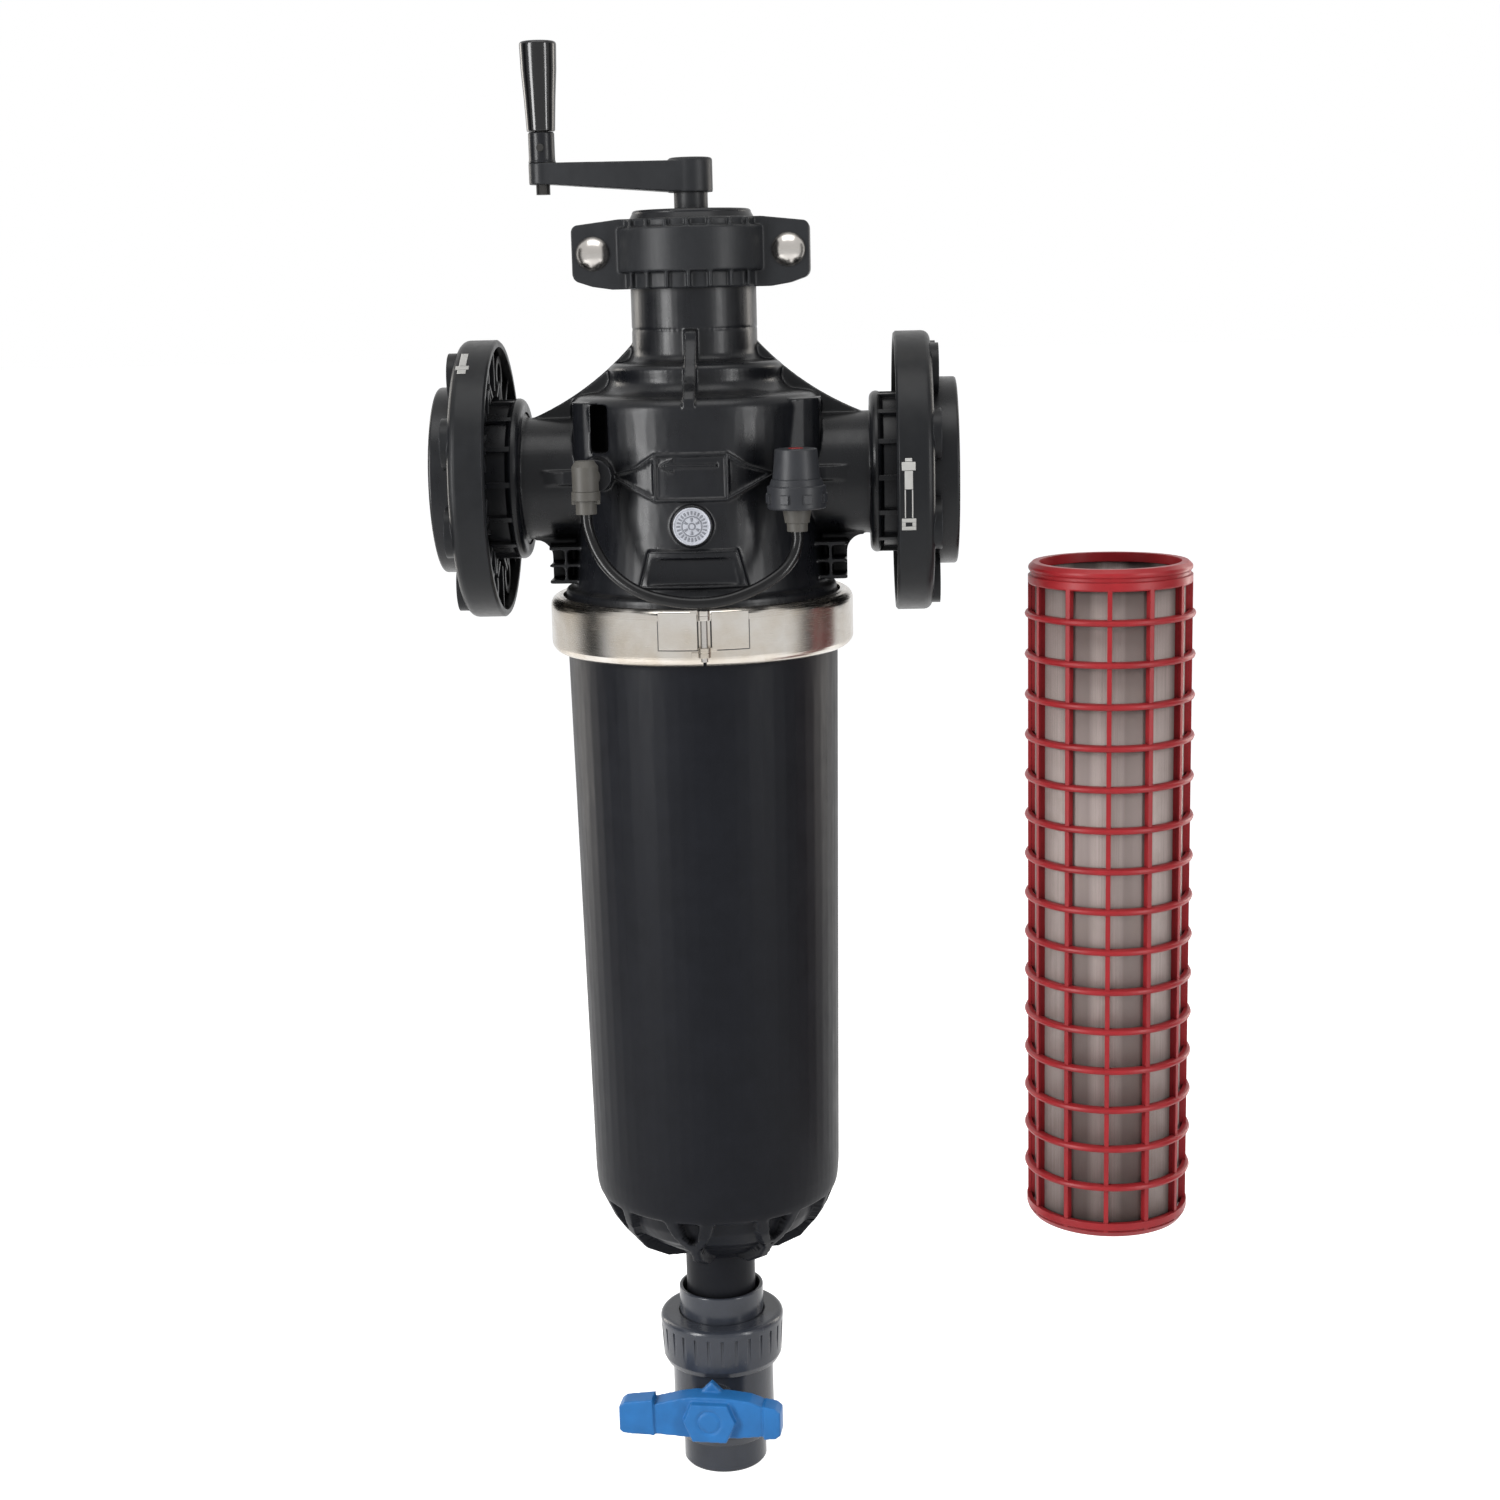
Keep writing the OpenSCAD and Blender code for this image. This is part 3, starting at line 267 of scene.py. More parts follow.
def moulded(name, colour, rough, spec=0.3, grain=0.0005, depth=0.00001, round_r=0.0008, dust=0.0,
            blotch=0.12, edge_wear_and_highlight=2.0, painted_shade_reach=0.0):
    """Moulded plastic: fine grain, a patchy gloss, edges lighter from wear and a painted highlight,
    dust on top, painted shade in hollows.

    grain is the grain's size and depth its relief. round_r rounds the edges, which
    edge_wear_and_highlight lightens by that factor, as wear and as a painted highlight. blotch is how
    far the colour wanders.
    painted_shade_reach is how far the painted shade in hollows reaches.
    """
    net = Net(name)
    colour = linear(*colour)
    soft = net.add("Bevel", Radius=round_r, samples=6)
    true = net.nodes.new("ShaderNodeNewGeometry").outputs["Normal"]
    bent = net.add("VectorMath", 1, operation="DOT_PRODUCT", i0=soft, i1=true)
    # Edges get a lighter colour: partly wear, partly a painted highlight on the rounded edges
    worn_and_highlit_edge = net.span(bent, 0.995, 0.86, 0, 1)
    patch = net.noise(0.022, 4, 0.6)
    fine = net.noise(grain, 2, 0.5)
    streak = net.noise(0.006, 3, 0.6, (1, 1, 6))
    base = net.tint(net.span(patch, 0.3, 0.7), shade(colour, 1 - blotch), shade(colour, 1 + blotch))
    edge = net.math("MULTIPLY", worn_and_highlit_edge, net.span(streak, 0.35, 0.7, 0.1, 0.5))
    base = net.tint(edge, base, shade(colour, edge_wear_and_highlight))
    if dust:
        up = net.add("SeparateXYZ", 2, Vector=true)
        settled = net.math("MULTIPLY", net.span(up, 0.3, 1.0), net.span(patch, 0.42, 0.7, 0.15, 1))
        base = net.tint(net.math("MULTIPLY", settled, dust), base, linear(110, 106, 98))
    gloss = net.math("ADD", net.span(streak, 0.3, 0.7, rough - 0.04, rough + 0.04),
                     net.span(patch, 0.3, 0.7, -0.03, 0.03))
    # Painted shade: hollows closed in by the object's own surfaces get a darker colour and a rougher
    # surface
    if painted_shade_reach:
        open_sky = net.add("AmbientOcclusion", 1, Distance=painted_shade_reach, samples=4)
        closed = net.span(open_sky, 0.75, 0.2, 0, 1)
        base = net.tint(net.math("MULTIPLY", closed, 0.8), base, shade(colour, 0.15))
        gloss = net.math("ADD", gloss, net.math("MULTIPLY", closed, 0.3))
    normal = net.bump(net.noise(0.011, 2, 0.4), 0.00005, Normal=soft)
    normal = net.bump(fine, depth, Normal=normal)
    return net.set(Base_Color=base, Roughness=gloss, Normal=normal, Specular_IOR_Level=spec)


def metal(name, colour, rough):
    """Steel with a fine grain, faint stains and a few deeper marks."""
    net = Net(name)
    colour = linear(*colour)
    soft = net.add("Bevel", Radius=0.0005, samples=6)
    grain = net.noise(0.00035, 3, 0.6)
    stain = net.noise(0.03, 4, 0.55)
    marks = net.span(net.noise(0.0012, 2, 0.5, (0.5, 0.5, 0.5)), 0.66, 0.8)
    base = net.tint(net.span(stain, 0.35, 0.7), colour, shade(colour, 0.86))
    base = net.tint(net.math("MULTIPLY", marks, 0.25), base, shade(colour, 0.55))
    gloss = net.math("ADD", net.span(grain, 0.25, 0.75, rough - 0.08, rough + 0.08),
                     net.span(stain, 0.3, 0.7, -0.04, 0.04))
    normal = net.bump(grain, 0.000004, Normal=soft)
    return net.set(Base_Color=base, Roughness=gloss, Metallic=1.0, Normal=normal)


def ring_brushed(name, colour, warm, rough):
    """Steel band brushed along its circumference about the vessel's axis, with warmer stains."""
    net = Net(name)
    colour, warm = linear(*colour), linear(*warm)
    lines_per_radian, lines_per_metre = 6.0, 3200.0
    soft = net.add("Bevel", Radius=0.0006, samples=6)
    angle, height = net.about(AXIS)
    line = net.add("CombineXYZ", X=net.math("MULTIPLY", angle, lines_per_radian), Y=0.0,
                   Z=net.math("MULTIPLY", height, lines_per_metre))
    grain = net.add("TexNoise", Vector=line, Scale=1.0, Detail=3.0, Roughness=0.65)
    stain = net.noise(0.035, 4, 0.55)
    base = net.tint(net.span(stain, 0.35, 0.7), colour, warm)
    base = net.tint(net.span(grain, 0.6, 0.85, 0, 0.25), base, shade(colour, 0.6))
    gloss = net.math("ADD", net.span(grain, 0.25, 0.75, rough - 0.07, rough + 0.09),
                     net.span(stain, 0.3, 0.7, -0.03, 0.05))
    normal = net.bump(grain, 0.000006, Normal=soft)
    return net.set(Base_Color=base, Roughness=gloss, Metallic=1.0, Normal=normal)


def woven(name, axis_x):
    """Fine wire cloth rolled round an upright axis, with a painted sheen in upright bands and some
    silt.
    """
    net = Net(name)
    cloth_r, pitch, bands, shift = 0.056, 0.0007, 8, 0.0078
    angle, height = net.about(axis_x)
    around = net.math("MULTIPLY", angle, cloth_r)
    warp, weft = (net.math("SINE", net.math("MULTIPLY", run, 2 * math.pi / pitch))
                  for run in (around, height))
    over = net.math("MULTIPLY", warp, weft)
    rise = net.math("ADD", net.math("MULTIPLY", over, 0.5), 0.5)
    wires = net.add("CombineXYZ", X=net.math("MULTIPLY", around, 900.0), Y=0.0,
                    Z=net.math("MULTIPLY", height, 9.0))
    drawn = net.add("TexNoise", Vector=wires, Scale=1.0, Detail=3.0, Roughness=0.6)
    silt = net.noise(0.02, 4, 0.6)
    # Painted sheen: the colour is lighter and darker in eight upright bands round the axis, in place of
    # lamp reflections
    painted_sheen = net.math("COSINE", net.math("MULTIPLY", net.math("ADD", around, shift), bands / cloth_r))
    base = net.tint(net.span(rise, 0.0, 1.0, 0.15, 1), linear(88, 77, 74), linear(180, 167, 162))
    base = net.tint(net.span(painted_sheen, -0.4, 0.6, 0.85, 0), base, linear(85, 74, 71))
    base = net.tint(net.span(drawn, 0.35, 0.75, 0, 0.4), base, linear(98, 86, 82))
    base = net.tint(net.span(silt, 0.5, 0.8, 0, 0.3), base, linear(104, 92, 82))
    gloss = net.span(drawn, 0.3, 0.7, 0.44, 0.56)
    return net.set(Base_Color=base, Roughness=gloss, Metallic=0.35, Normal=net.bump(rise, 0.00004))


PLASTICS = {
    "moulded_black": dict(colour=(15, 16, 19), rough=0.30, spec=0.21, dust=0.07, edge_wear_and_highlight=3.0,
                          painted_shade_reach=0.02),
    # Near-black and dull: painted shade for the inside of the head's slot
    "slot_painted_shade": dict(colour=(10, 10, 11), rough=0.9, spec=0.02),
    "flange_black": dict(colour=(17, 18, 20), rough=0.36, spec=0.16, dust=0.06, edge_wear_and_highlight=9.0,
                         round_r=0.0012),
    "bowl_black": dict(colour=(18, 19, 23), rough=0.42, spec=0.08, grain=0.0004, depth=0.000006,
                       dust=0.04, painted_shade_reach=0.02),
    "coupling_grey": dict(colour=(29, 30, 32), rough=0.40, spec=0.17, grain=0.0007, depth=0.00002,
                          dust=0.08, edge_wear_and_highlight=2.8, painted_shade_reach=0.012),
    "grip_black": dict(colour=(10, 10, 11), rough=0.14, spec=0.4, grain=0.006, depth=0.000002,
                       blotch=0.05),
    "rubber": dict(colour=(22, 22, 22), rough=0.8, spec=0.1, grain=0.001, depth=0.00002),
    "bush_plastic": dict(colour=(214, 210, 194), rough=0.45),
    "brush_plastic": dict(colour=(84, 88, 94), rough=0.45),
    "bristle": dict(colour=(214, 210, 200), rough=0.7, grain=0.0008, depth=0.0002),
    "screen_red": dict(colour=(131, 27, 32), rough=0.38, spec=0.22, grain=0.0006, dust=0.05, edge_wear_and_highlight=1.3,
                       painted_shade_reach=0.006),
    "pvc_grey": dict(colour=(45, 48, 55), rough=0.22, spec=0.33, grain=0.0006, depth=0.000006,
                     dust=0.04, edge_wear_and_highlight=2.6, round_r=0.0012, painted_shade_reach=0.008),
    "seat_white": dict(colour=(230, 228, 220), rough=0.35),
    "handle_blue": dict(colour=(31, 93, 149), rough=0.42, spec=0.25, grain=0.0006, edge_wear_and_highlight=1.25,
                        painted_shade_reach=0.006),
    "fitting_grey": dict(colour=(66, 64, 60), rough=0.5, spec=0.25, grain=0.0006, depth=0.00002,
                         dust=0.1, edge_wear_and_highlight=1.8, painted_shade_reach=0.006),
    "indicator_black": dict(colour=(36, 37, 40), rough=0.42, spec=0.22, edge_wear_and_highlight=2.2, painted_shade_reach=0.008),
    "button_red": dict(colour=(120, 20, 20), rough=0.3),
    "hose_black": dict(colour=(11, 11, 12), rough=0.22, spec=0.22, grain=0.002, depth=0.000004),
    "badge_grey": dict(colour=(158, 160, 167), rough=0.35, grain=0.0006),
    "badge_mark": dict(colour=(106, 108, 114), rough=0.4, grain=0.0006),
    "mark_white": dict(colour=(150, 149, 146), rough=0.55, grain=0.0008),
}
MATERIALS = {name: moulded(name, **look) for name, look in PLASTICS.items()}
MATERIALS.update({
    "stainless": ring_brushed("stainless", (198, 194, 188), (182, 172, 158), 0.22),
    "steel": metal("steel", (184, 180, 175), 0.26),
    "dark_steel": metal("dark_steel", (70, 69, 68), 0.35),
    "screen_mesh": woven("screen_mesh", AXIS),
    "spare_mesh": woven("spare_mesh", AXIS + SPARE_X / 1000),
})
SLOTS = {row["node"]: row["material_slot"] for row in frame["record"]["subparts"]}
# Nodes whose finish differs from the one that their slot names
FINISHES = {"spare_screen_mesh": "spare_mesh", "grip_spindle": "dark_steel",
            "sleeve_screw": "dark_steel", "inlet_flange": "flange_black",
            "outlet_flange": "flange_black"}


def paint(obj, name):
    obj.data.materials.clear()
    obj.data.materials.append(MATERIALS[name])


for name, obj in nodes.items():
    for place in obj.material_slots:
        place.material = MATERIALS[FINISHES.get(name, SLOTS[name])]
paint(hose, "hose_black")

# ------------------------------------------------------------------ moulded pieces

SHARED = 0.000002  # corners of a solid's faces that are closer than this are one


def settle(obj):
    """Applies an object's modifiers to its mesh."""
    shown = obj.evaluated_get(bpy.context.evaluated_depsgraph_get())
    mesh = bpy.data.meshes.new_from_object(shown)
    obj.modifiers.clear()
    obj.data = mesh


def prism(form, outline, axis, low, high):
    """Adds a closed prism to a mesh. Its outline is in millimetres from the vessel's axis."""
    def corner(p, along):
        place = list(p)
        place.insert("xyz".index(axis), along)
        return form.verts.new(at(*place))
    sweep(form, [[corner(p, along) for p in outline] for along in (low, high)])


def cast(node, voxel, rounds, keep, added=()):
    """A moulded copy of a node's solid, with rounded edges and filled corners, in its place.

    It is remeshed in voxels of that size, smoothed for some rounds and thinned to a share of its faces.
    """
    obj = link(bpy.data.objects.new(node + "_moulded", nodes[node].data.copy()))
    form = bmesh.new()
    form.from_mesh(obj.data)
    bmesh.ops.remove_doubles(form, verts=form.verts, dist=SHARED)
    for shape in added:
        prism(form, *shape)
    form.to_mesh(obj.data)
    form.free()
    remesh = obj.modifiers.new("remesh", "REMESH")
    remesh.mode = "VOXEL"
    remesh.voxel_size = voxel
    soften = obj.modifiers.new("soften", "SMOOTH")
    soften.factor = 0.5
    soften.iterations = rounds
    thin = obj.modifiers.new("thin", "DECIMATE")
    thin.ratio = keep
    settle(obj)
    for face in obj.data.polygons:
        face.use_smooth = True
    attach(obj, body_of(nodes[node])[0])
    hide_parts(node)
    paint(obj, SLOTS[node])
    return obj


# Forms of the head that only its moulded copy has: y and z of the shoulder fin at the front, and
# x and y of the squared front corners of the body beside the two ports
FIN = [(-40, 50), (-89.4, 50), (-90.6, 54), (-89.6, 59), (-84.5, 64), (-76, 68.5), (-69, 74),
       (-64.5, 80), (-61, 85.5), (-56, 92), (-52, 98), (-50.8, 102), (-49, 104), (-40, 104)]
FIN_HALF = 4
CORNER = [(-72.6, -20), (-86.5, -20), (-86.5, -34), (-85.4, -41), (-82, -46), (-77.5, -50),
          (-72.6, -52.5)]
FAR_CORNER = [(60, -20), (90, -20), (90, -33), (88.6, -41), (84.5, -46), (78, -51), (68, -57)]
CORNER_Z = (8, 56)


def head_shapes():
    """Full shoulder fins and squared sides, at the front and turned to the back."""
    for fin in (FIN, [(-y, z) for y, z in FIN]):
        yield fin, "x", -FIN_HALF, FIN_HALF
    for corner in (CORNER, FAR_CORNER):
        yield corner, "z", *CORNER_Z
    for corner in (FAR_CORNER, CORNER):
        yield [(-x, -y) for x, y in corner], "z", *CORNER_Z


def paint_slot_shade(head):
    """Paints shade into the head's slot: the faces inside it get a near-black, dull material."""
    head.data.materials.append(MATERIALS["slot_painted_shade"])
    low, high = at(-72, -58, 21), at(-58, -40, 55.5)
    for face in head.data.polygons:
        if all(low[i] < face.center[i] < high[i] for i in range(3)):
            face.material_index = 1


# Height and radius down the dome's skin, from where it begins
DOME = [(0.0, 88.0), (-14.0, 83.8), (-25.0, 76.8), (-34.0, 64.0), (-46.0, 40.0)]
POCKET_DEPTH = 5.5
POCKET_FADE = 4        # below the dome's rim
POCKET_END = (-41, -31)
SKIN_BAND = (3.2, 0.35)  # how far inside and outside the skin a point still counts as on it


def deepen_pockets(bowl):
    """Sinks the dome of the bowl between its ribs."""
    inside, outside = SKIN_BAND
    for vertex in bowl.data.vertices:
        place = (vertex.co - at(0, 0, 0)) * 1000
        z = place.z - BOWL_LOW_Z
        radius = math.hypot(place.x, place.y)
        for (z0, r0), (z1, r1) in zip(DOME, DOME[1:]):
            skin = r0 + (r1 - r0) * (z - z0) / (z1 - z0)
            if z1 < z <= z0 and skin - inside < radius < skin + outside:
                ramp = min(1, max(0, (z - POCKET_END[0]) / (POCKET_END[1] - POCKET_END[0])))
                if z0 == 0:
                    ramp *= min(1, -z / POCKET_FADE)
                vertex.co += Vector((-place.x, -place.y, 0)).normalized() * POCKET_DEPTH * ramp / 1000


# ------------------------------------------------------------------ marks on the rims and the badge

RIM_R = 0.10012       # just proud of the loose flanges' rims
MARK_SINK = 0.0004    # how far a mark reaches into what carries it
BADGE_FACE = at(0, -92.4, -28)
BADGE_RISE = 0.0003
# Along the rim from its middle, half the width there, and the angles above the front
LEFT_RIM, LEFT_PICTURE = -0.1600, [
    (0, 0.0025, 57, 66.4), (0, 0.0047, 54.4, 56.8), (0, 0.0030, 51.9, 54.2),
]
RIGHT_RIM, RIGHT_PICTURE = 0.1497, [
    (0, 0.0024, 8.1, 9.4), (0, 0.0047, 4.6, 7.9), (0, 0.0028, -2.7, 4.4),
    (-0.0025, 0.0004, -14.3, -2.9), (0.0025, 0.0004, -14.3, -2.9),
    (0, 0.0049, -16.1, -14.5), (0, 0.0049, -19.4, -17.9),
    (-0.0036, 0.0013, -17.8, -16.2), (0.0036, 0.0013, -17.8, -16.2),
]


def plates(name, material, shapes):
    """One mesh of thin raised plates. Each has rows of points on its face, and how far each sinks."""
    form = bmesh.new()
    for rows, lift in shapes:
        upper = [[form.verts.new(p) for p in row] for row in rows]
        lower = [[form.verts.new(p - n) for p, n in zip(row, ns)] for row, ns in zip(rows, lift)]
        for layer, turn in ((upper, 1), (lower, -1)):
            for a, b in zip(layer, layer[1:]):
                for i in range(len(a) - 1):
                    form.faces.new([a[i], a[i + 1], b[i + 1], b[i]][::turn])
        for a, b in zip(range(len(rows)), range(1, len(rows))):
            form.faces.new([upper[a][0], upper[b][0], lower[b][0], lower[a][0]])
            form.faces.new([upper[b][-1], upper[a][-1], lower[a][-1], lower[b][-1]])
        for i in range(len(rows[0]) - 1):
            form.faces.new([upper[0][i + 1], upper[0][i], lower[0][i], lower[0][i + 1]])
            form.faces.new([upper[-1][i], upper[-1][i + 1], lower[-1][i + 1], lower[-1][i]])
    bmesh.ops.recalc_face_normals(form, faces=form.faces)
    obj = piece(name, form)
    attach(obj, "root")
    paint(obj, material)


def rim_plate(x, half, low, high, steps=6):
    """A plate on a flange's rim, between two angles above the front."""
    rows, lift = [], []
    for i in range(steps + 1):
        a = math.radians(low + (high - low) * i / steps)
        out = Vector((0, -math.cos(a), math.sin(a)))
        rows.append([at(side * 1000, 0, 0) + out * RIM_R for side in (x - half, x + half)])
        lift.append([out * MARK_SINK] * 2)
    return rows, lift


def badge_plate(r_in, r_out, low, high, steps=2):
    """A plate on the badge's face, between two radii and two angles."""
    rows, lift = [], []
    for i in range(steps + 1):
        a = math.radians(low + (high - low) * i / steps)
        out = Vector((math.cos(a), 0, math.sin(a)))
        rows.append([BADGE_FACE + out * r + Vector((0, -BADGE_RISE, 0)) for r in (r_in, r_out)])
        lift.append([Vector((0, -MARK_SINK, 0))] * 2)
    return rows, lift


def make_marks():
    """Plain bolt pictures on the flange rims and a plain ring of ticks on the badge."""
    plates("rim_marks", "mark_white",
           [rim_plate(LEFT_RIM + shift, *rest) for shift, *rest in LEFT_PICTURE]
           + [rim_plate(RIGHT_RIM + shift, *rest) for shift, *rest in RIGHT_PICTURE])
    ticks = [badge_plate(0.0080, 0.0106, a - 3.6, a + 3.6) for a in range(0, 360, 15)]
    # A ring stops just short of its start, so that its two ends aren't one face
    rings = [badge_plate(r - 0.0004, r + 0.0004, 0, 359.9, 48) for r in (0.0069, 0.0022)]
    spokes = [badge_plate(0.0034, 0.0058, a - 9, a + 9) for a in range(30, 390, 60)]
    plates("badge_marks", "badge_mark", ticks + rings + spokes)


# ------------------------------------------------------------------ raised lines on the head

LABEL = [(-56.5, 6), (-37.5, 12.3), (-24.8, 21.2), (24.8, 21.2), (37.5, 12.3), (56.5, 6), (24.6, -10.3),
         (-24.6, -10.3), (-56.5, 6)]
RECESS = [(-30, -46), (30, -46), (36.4, -70.2), (-36.4, -70.2), (-30, -46)]
ARROW_SHAFT = [(18, 13.5), (-18, 13.5)]
ARROW_HEAD = [(-12.5, 17.5), (-21, 13.5), (-12.5, 9.5)]


def body_place(x, z, out=0.0):
    """A point on the front of the head's body, and the way out of it there, in millimetres."""
    if z > -38:
        radius = 88.5 + (20 - z) * 0.5 / 58
    else:
        radius = 89 + (-38 - z) * 3 / 32
    y = -math.sqrt(radius ** 2 - x ** 2)
    way = Vector((x, y, 0)).normalized()
    return Vector((x, y, z)) + way * out, way


def bead(form, ends, width, base, rise):
    """A half-round line on the head's body through a few points of x and z."""
    arc_points, root, step = 7, 1.5, 2
    line = []
    for (x0, z0), (x1, z1) in zip(ends, ends[1:]):
        steps = max(2, round(math.hypot(x1 - x0, z1 - z0) / step))
        line += [(x0 + (x1 - x0) * i / steps, z0 + (z1 - z0) * i / steps) for i in range(steps)]
    line.append(ends[-1])
    spots = [body_place(x, z, base) for x, z in line]
    rows = []
    for i, (place, way) in enumerate(spots):
        ahead = spots[min(i + 1, len(spots) - 1)][0] - spots[max(i - 1, 0)][0]
        side = ahead.cross(way).normalized()
        row = []
        for k in range(arc_points):
            a = math.pi * k / (arc_points - 1)
            row.append(place + side * math.cos(a) * width / 2 + way * math.sin(a) * rise)
        row += [place - side * width / 2 - way * root, place + side * width / 2 - way * root]
        rows.append([form.verts.new(at(*p)) for p in row])
    sweep(form, rows)


def make_beads():
    """Crisp raised lines of the flow label and round the recess under the badge."""
    form = bmesh.new()
    for line in [LABEL] + [[(x, -10.3), (x, 21.2)] for x in (-25, 25)]:
        bead(form, line, width=1.8, base=1.0, rise=1.3)
    bead(form, RECESS, width=1.6, base=1.6, rise=1.2)
    for line in (ARROW_SHAFT, ARROW_HEAD):
        bead(form, line, width=1.6, base=0.6, rise=1.2)
    obj = piece("label_lines", form)
    for face in obj.data.polygons:
        face.use_smooth = len(face.vertices) == 4
    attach(obj, "root")
    paint(obj, "moulded_black")


# ------------------------------------------------------------------ seams on the band, dark as painted shade

BAND_R = 110.5
SEAM_WIDTH, SEAM_RISE = 0.9, 0.75
HINGE_PLATES = ((257.5, 271.5), (276.6, 290.0))  # angles about the vessel
PLATE_FOOT, SEAM_TOP = -7.3, 12.5                # from the band's middle


def make_plate_seam_shade():
    """Raised lines beside and under the two hinge plates on the band, in dark steel as painted shade of
    the gaps there.
    """
    form = bmesh.new()
    half = math.degrees(SEAM_WIDTH / 2 / BAND_R)
    low, high = JOINT_Z + PLATE_FOOT - SEAM_WIDTH / 2, JOINT_Z + SEAM_TOP
    section = ((1, BAND_R), (1, BAND_R + SEAM_RISE), (-1, BAND_R + SEAM_RISE), (-1, BAND_R))
    for left, right in ((a - half, b + half) for a, b in HINGE_PLATES):
        line = [(left, high, -1, 0), (left, low, -1, -1)]
        line += [(left + (right - left) * i / 8, low, 0, -1) for i in range(1, 8)]
        line += [(right, low, 1, -1), (right, high, 1, 0)]
        rows = []
        for turn, z, side, up in line:
            row = []
            for k, r in section:
                a = math.radians(turn + side * half * k)
                row.append(form.verts.new(
                    at(r * math.cos(a), r * math.sin(a), z + up * SEAM_WIDTH / 2 * k)))
            rows.append(row)
        sweep(form, rows)
    obj = piece("plate_seam_shade", form)
    paint(obj, "dark_steel")
    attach(obj, "root")


# ------------------------------------------------------------------ the spare cartridge's cloth

CLOTH_R, CLOTH_WALL, CLOTH_SIDES = 0.0543, 0.0006, 144
CLOTH_TOP, CLOTH_BOTTOM = -0.0072, -0.4918
WEBS, WEB_TURN = 12, math.radians(-6.5)
WEB_R, WEB_W = 0.0570, 0.0034
WEB_BITE, WEB_OVER = 0.0004, 0.0005  # how far a web cuts into the cloth, and runs past its ends


def make_spare_cloth():
    """The cartridge's wire cloth, set back from the cage's ribs, and the webs that hold it."""
    axis = at(SPARE_X, 0, -68)
    cloth = bmesh.new()
    rings = []
    for r, z in ((CLOTH_R, CLOTH_BOTTOM), (CLOTH_R, CLOTH_TOP), (CLOTH_R - CLOTH_WALL, CLOTH_TOP),
                 (CLOTH_R - CLOTH_WALL, CLOTH_BOTTOM)):
        rings.append([cloth.verts.new(axis + Vector((r * math.cos(a), r * math.sin(a), z)))
                      for a in (2 * math.pi * i / CLOTH_SIDES for i in range(CLOTH_SIDES))])
    sweep(cloth, rings, closed=True)
    webs = bmesh.new()
    for i in range(WEBS):
        a = WEB_TURN + 2 * math.pi * i / WEBS
        out = Vector((math.cos(a), math.sin(a), 0))
        side = Vector((-out.y, out.x, 0)) * WEB_W / 2
        inner = CLOTH_R - WEB_BITE
        corners = [axis + out * r + side * s for r, s in
                   ((inner, -1), (WEB_R, -1), (WEB_R, 1), (inner, 1))]
        sweep(webs, [[webs.verts.new(c + Vector((0, 0, z))) for c in corners]
                     for z in (CLOTH_BOTTOM - WEB_OVER, CLOTH_TOP + WEB_OVER)])
    for name, form, finish, node in (("spare_wire_cloth", cloth, "spare_mesh", "spare_screen_mesh"),
                                     ("spare_webs", webs, "screen_red", "spare_screen_frame")):
        obj = piece(name, form)
        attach(obj, "root")
        paint(obj, finish)
        if form is cloth:
            for face in obj.data.polygons:
                face.use_smooth = abs(face.normal.z) < 0.5
            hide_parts(node)


make_marks()
make_beads()
make_plate_seam_shade()
make_spare_cloth()
paint_slot_shade(cast("filter_head", voxel=0.0010, rounds=4, keep=0.35, added=head_shapes()))
deepen_pockets(cast("bowl", voxel=0.0012, rounds=6, keep=0.4))
for node, rounds in (("coupling_front", 3), ("coupling_rear", 3), ("crank_arm", 4),
                     ("valve_handle", 5)):
    cast(node, voxel=0.0008, rounds=rounds, keep=0.4)

# ------------------------------------------------------------------ studio

STUDIO_X = AXIS + 0.05
AIM = Vector((STUDIO_X, 0, -0.2))
WARM = (1.0, 0.94, 0.86)
# Name, degrees round from the front, height, distance, size, watts, colour
STRIPS = [
    ("left_front", -49, 0.15, 1.6, (0.42, 1.4), 35, (1, 1, 1)),
    ("right_front", 50, 0.1, 1.7, (0.24, 1.4), 18, (1, 1, 1)),
    ("left_side", -122, 0.0, 1.6, (0.4, 1.4), 10, WARM),
    ("right_side", 124, 0.0, 1.6, (0.4, 1.4), 10, WARM),
]


def beside(azimuth, away, height):
    """A place at an angle from the front, seen from above, and at a distance from the middle."""
    a = math.radians(azimuth)
    return Vector((STUDIO_X + away * math.sin(a), -away * math.cos(a), height))


def lamp(name, place, size, power, colour=(1, 1, 1)):
    data = bpy.data.lights.new(name, "AREA")
    data.shape = "RECTANGLE"
    data.size, data.size_y = size
    data.energy = power
    data.color = colour
    obj = link(bpy.data.objects.new(name, data))
    obj.location = place
    obj.rotation_euler = (place - AIM).to_track_quat("Z", "Y").to_euler()
    return obj


def spare_metal(strips):
    """Keeps the narrow lamps off the bright metal, which shows the white room instead."""
    group = bpy.data.collections.new("bright_metal")
    for name, finish in SLOTS.items():
        if finish in ("stainless", "steel"):
            group.objects.link(nodes[name])
    for entry in group.collection_objects:
        entry.light_linking.link_state = "EXCLUDE"
    for strip in strips:
        strip.light_linking.receiver_collection = group


def sheet_of(name, half):
    """A flat square object."""
    form = bmesh.new()
    bmesh.ops.create_grid(form, x_segments=1, y_segments=1, size=half)
    return piece(name, form)


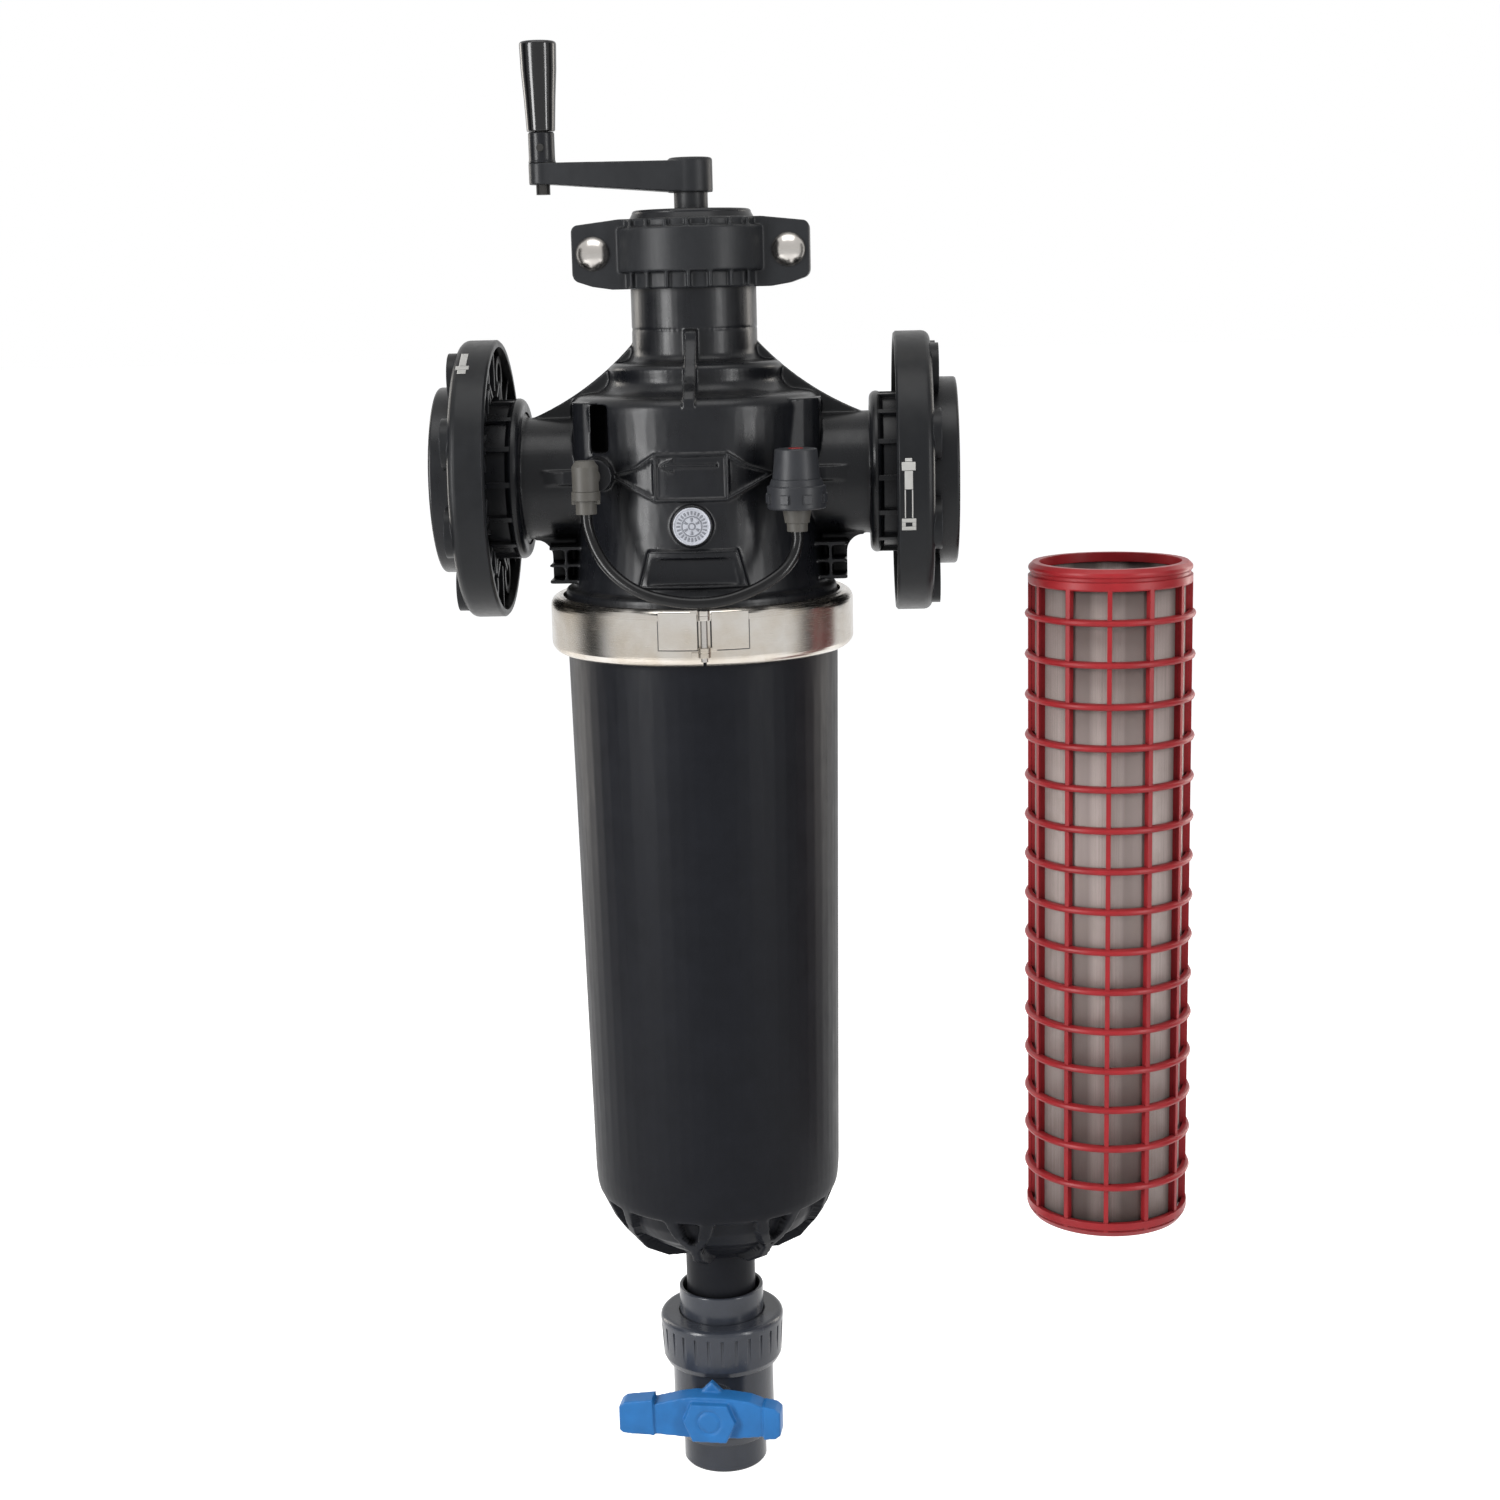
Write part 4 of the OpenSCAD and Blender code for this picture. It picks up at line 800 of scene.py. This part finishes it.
def flag(name, azimuth, away, width, dark):
    """A card beside the object that only its reflections show, dark in the middle of its width."""
    card = sheet_of(name, 0.5)
    card.scale = (width, 1.7, 1)
    card.location = beside(azimuth, away, -0.1)
    card.rotation_euler = (math.pi / 2, 0, math.radians(azimuth))
    card.visible_camera = card.visible_diffuse = card.visible_shadow = False
    card.visible_transmission = False
    net = Net(name)
    across = net.math("ABSOLUTE", net.add("SeparateXYZ", 0, Vector=net.place))
    glow = net.add("Emission", Color=WHITE, Strength=net.span(across, 0.12, 0.5, dark, 1.0))
    net.links.new(glow, net.out.inputs[0])
    card.data.materials.append(net.material)


def seen_plainly(tree):
    """1 for what the camera sees, in a mirror and through glass too, and 0 for light on the object."""
    path = tree.nodes.new("ShaderNodeLightPath")
    shown = path.outputs["Is Camera Ray"]
    for ray in ("Is Glossy Ray", "Is Transmission Ray"):
        most = tree.nodes.new("ShaderNodeMath")
        most.operation = "MAXIMUM"
        tree.links.new(shown, most.inputs[0])
        tree.links.new(path.outputs[ray], most.inputs[1])
        shown = most.outputs[0]
    return shown


def make_world():
    """A white room that lights the object with a weaker, slightly cool fill."""
    world = bpy.data.worlds.new("studio")
    bpy.context.scene.world = world
    world.use_nodes = True
    tree = world.node_tree
    tree.nodes.clear()
    out = tree.nodes.new("ShaderNodeOutputWorld")
    mix = tree.nodes.new("ShaderNodeMixShader")
    fill, seen = (tree.nodes.new("ShaderNodeBackground") for _ in range(2))
    fill.inputs[0].default_value = (0.93, 0.96, 1, 1)
    fill.inputs[1].default_value = 0.34
    seen.inputs[0].default_value = WHITE
    tree.links.new(seen_plainly(tree), mix.inputs[0])
    tree.links.new(fill.outputs[0], mix.inputs[1])
    tree.links.new(seen.outputs[0], mix.inputs[2])
    tree.links.new(mix.outputs[0], out.inputs[0])


def make_floor():
    """Pale paper that keeps the object's shadow and looks white."""
    floor = sheet_of("floor", 30)
    floor.location = (0, 0, FLOOR_Z)
    net = Net("floor")
    net.set(Base_Color=net.tint(net.noise(0.4), (0.60, 0.60, 0.60, 1), (0.64, 0.64, 0.64, 1)),
            Roughness=0.9, Specular_IOR_Level=0.1)
    light = net.add("Emission", Strength=0.82)
    glow = net.add("AddShader", i0=net.bsdf.outputs[0], i1=light)
    shown = seen_plainly(net.material.node_tree)
    paper = net.add("MixShader", i0=shown, i1=net.bsdf.outputs[0], i2=glow)
    net.links.new(paper, net.out.inputs[0])
    floor.data.materials.append(net.material)


make_world()
make_floor()
spare_metal([lamp(name, beside(azimuth, away, height), size, power, colour)
             for name, azimuth, height, away, size, power, colour in STRIPS])
lamp("top", Vector((STUDIO_X, -0.5, 1.6)), (1.6, 0.9), 14)
flag("left_flag", -86, 1.4, 1.0, 0.03)
flag("right_flag", 88, 1.4, 0.75, 0.12)
bpy.context.scene.view_settings.view_transform = "Standard"
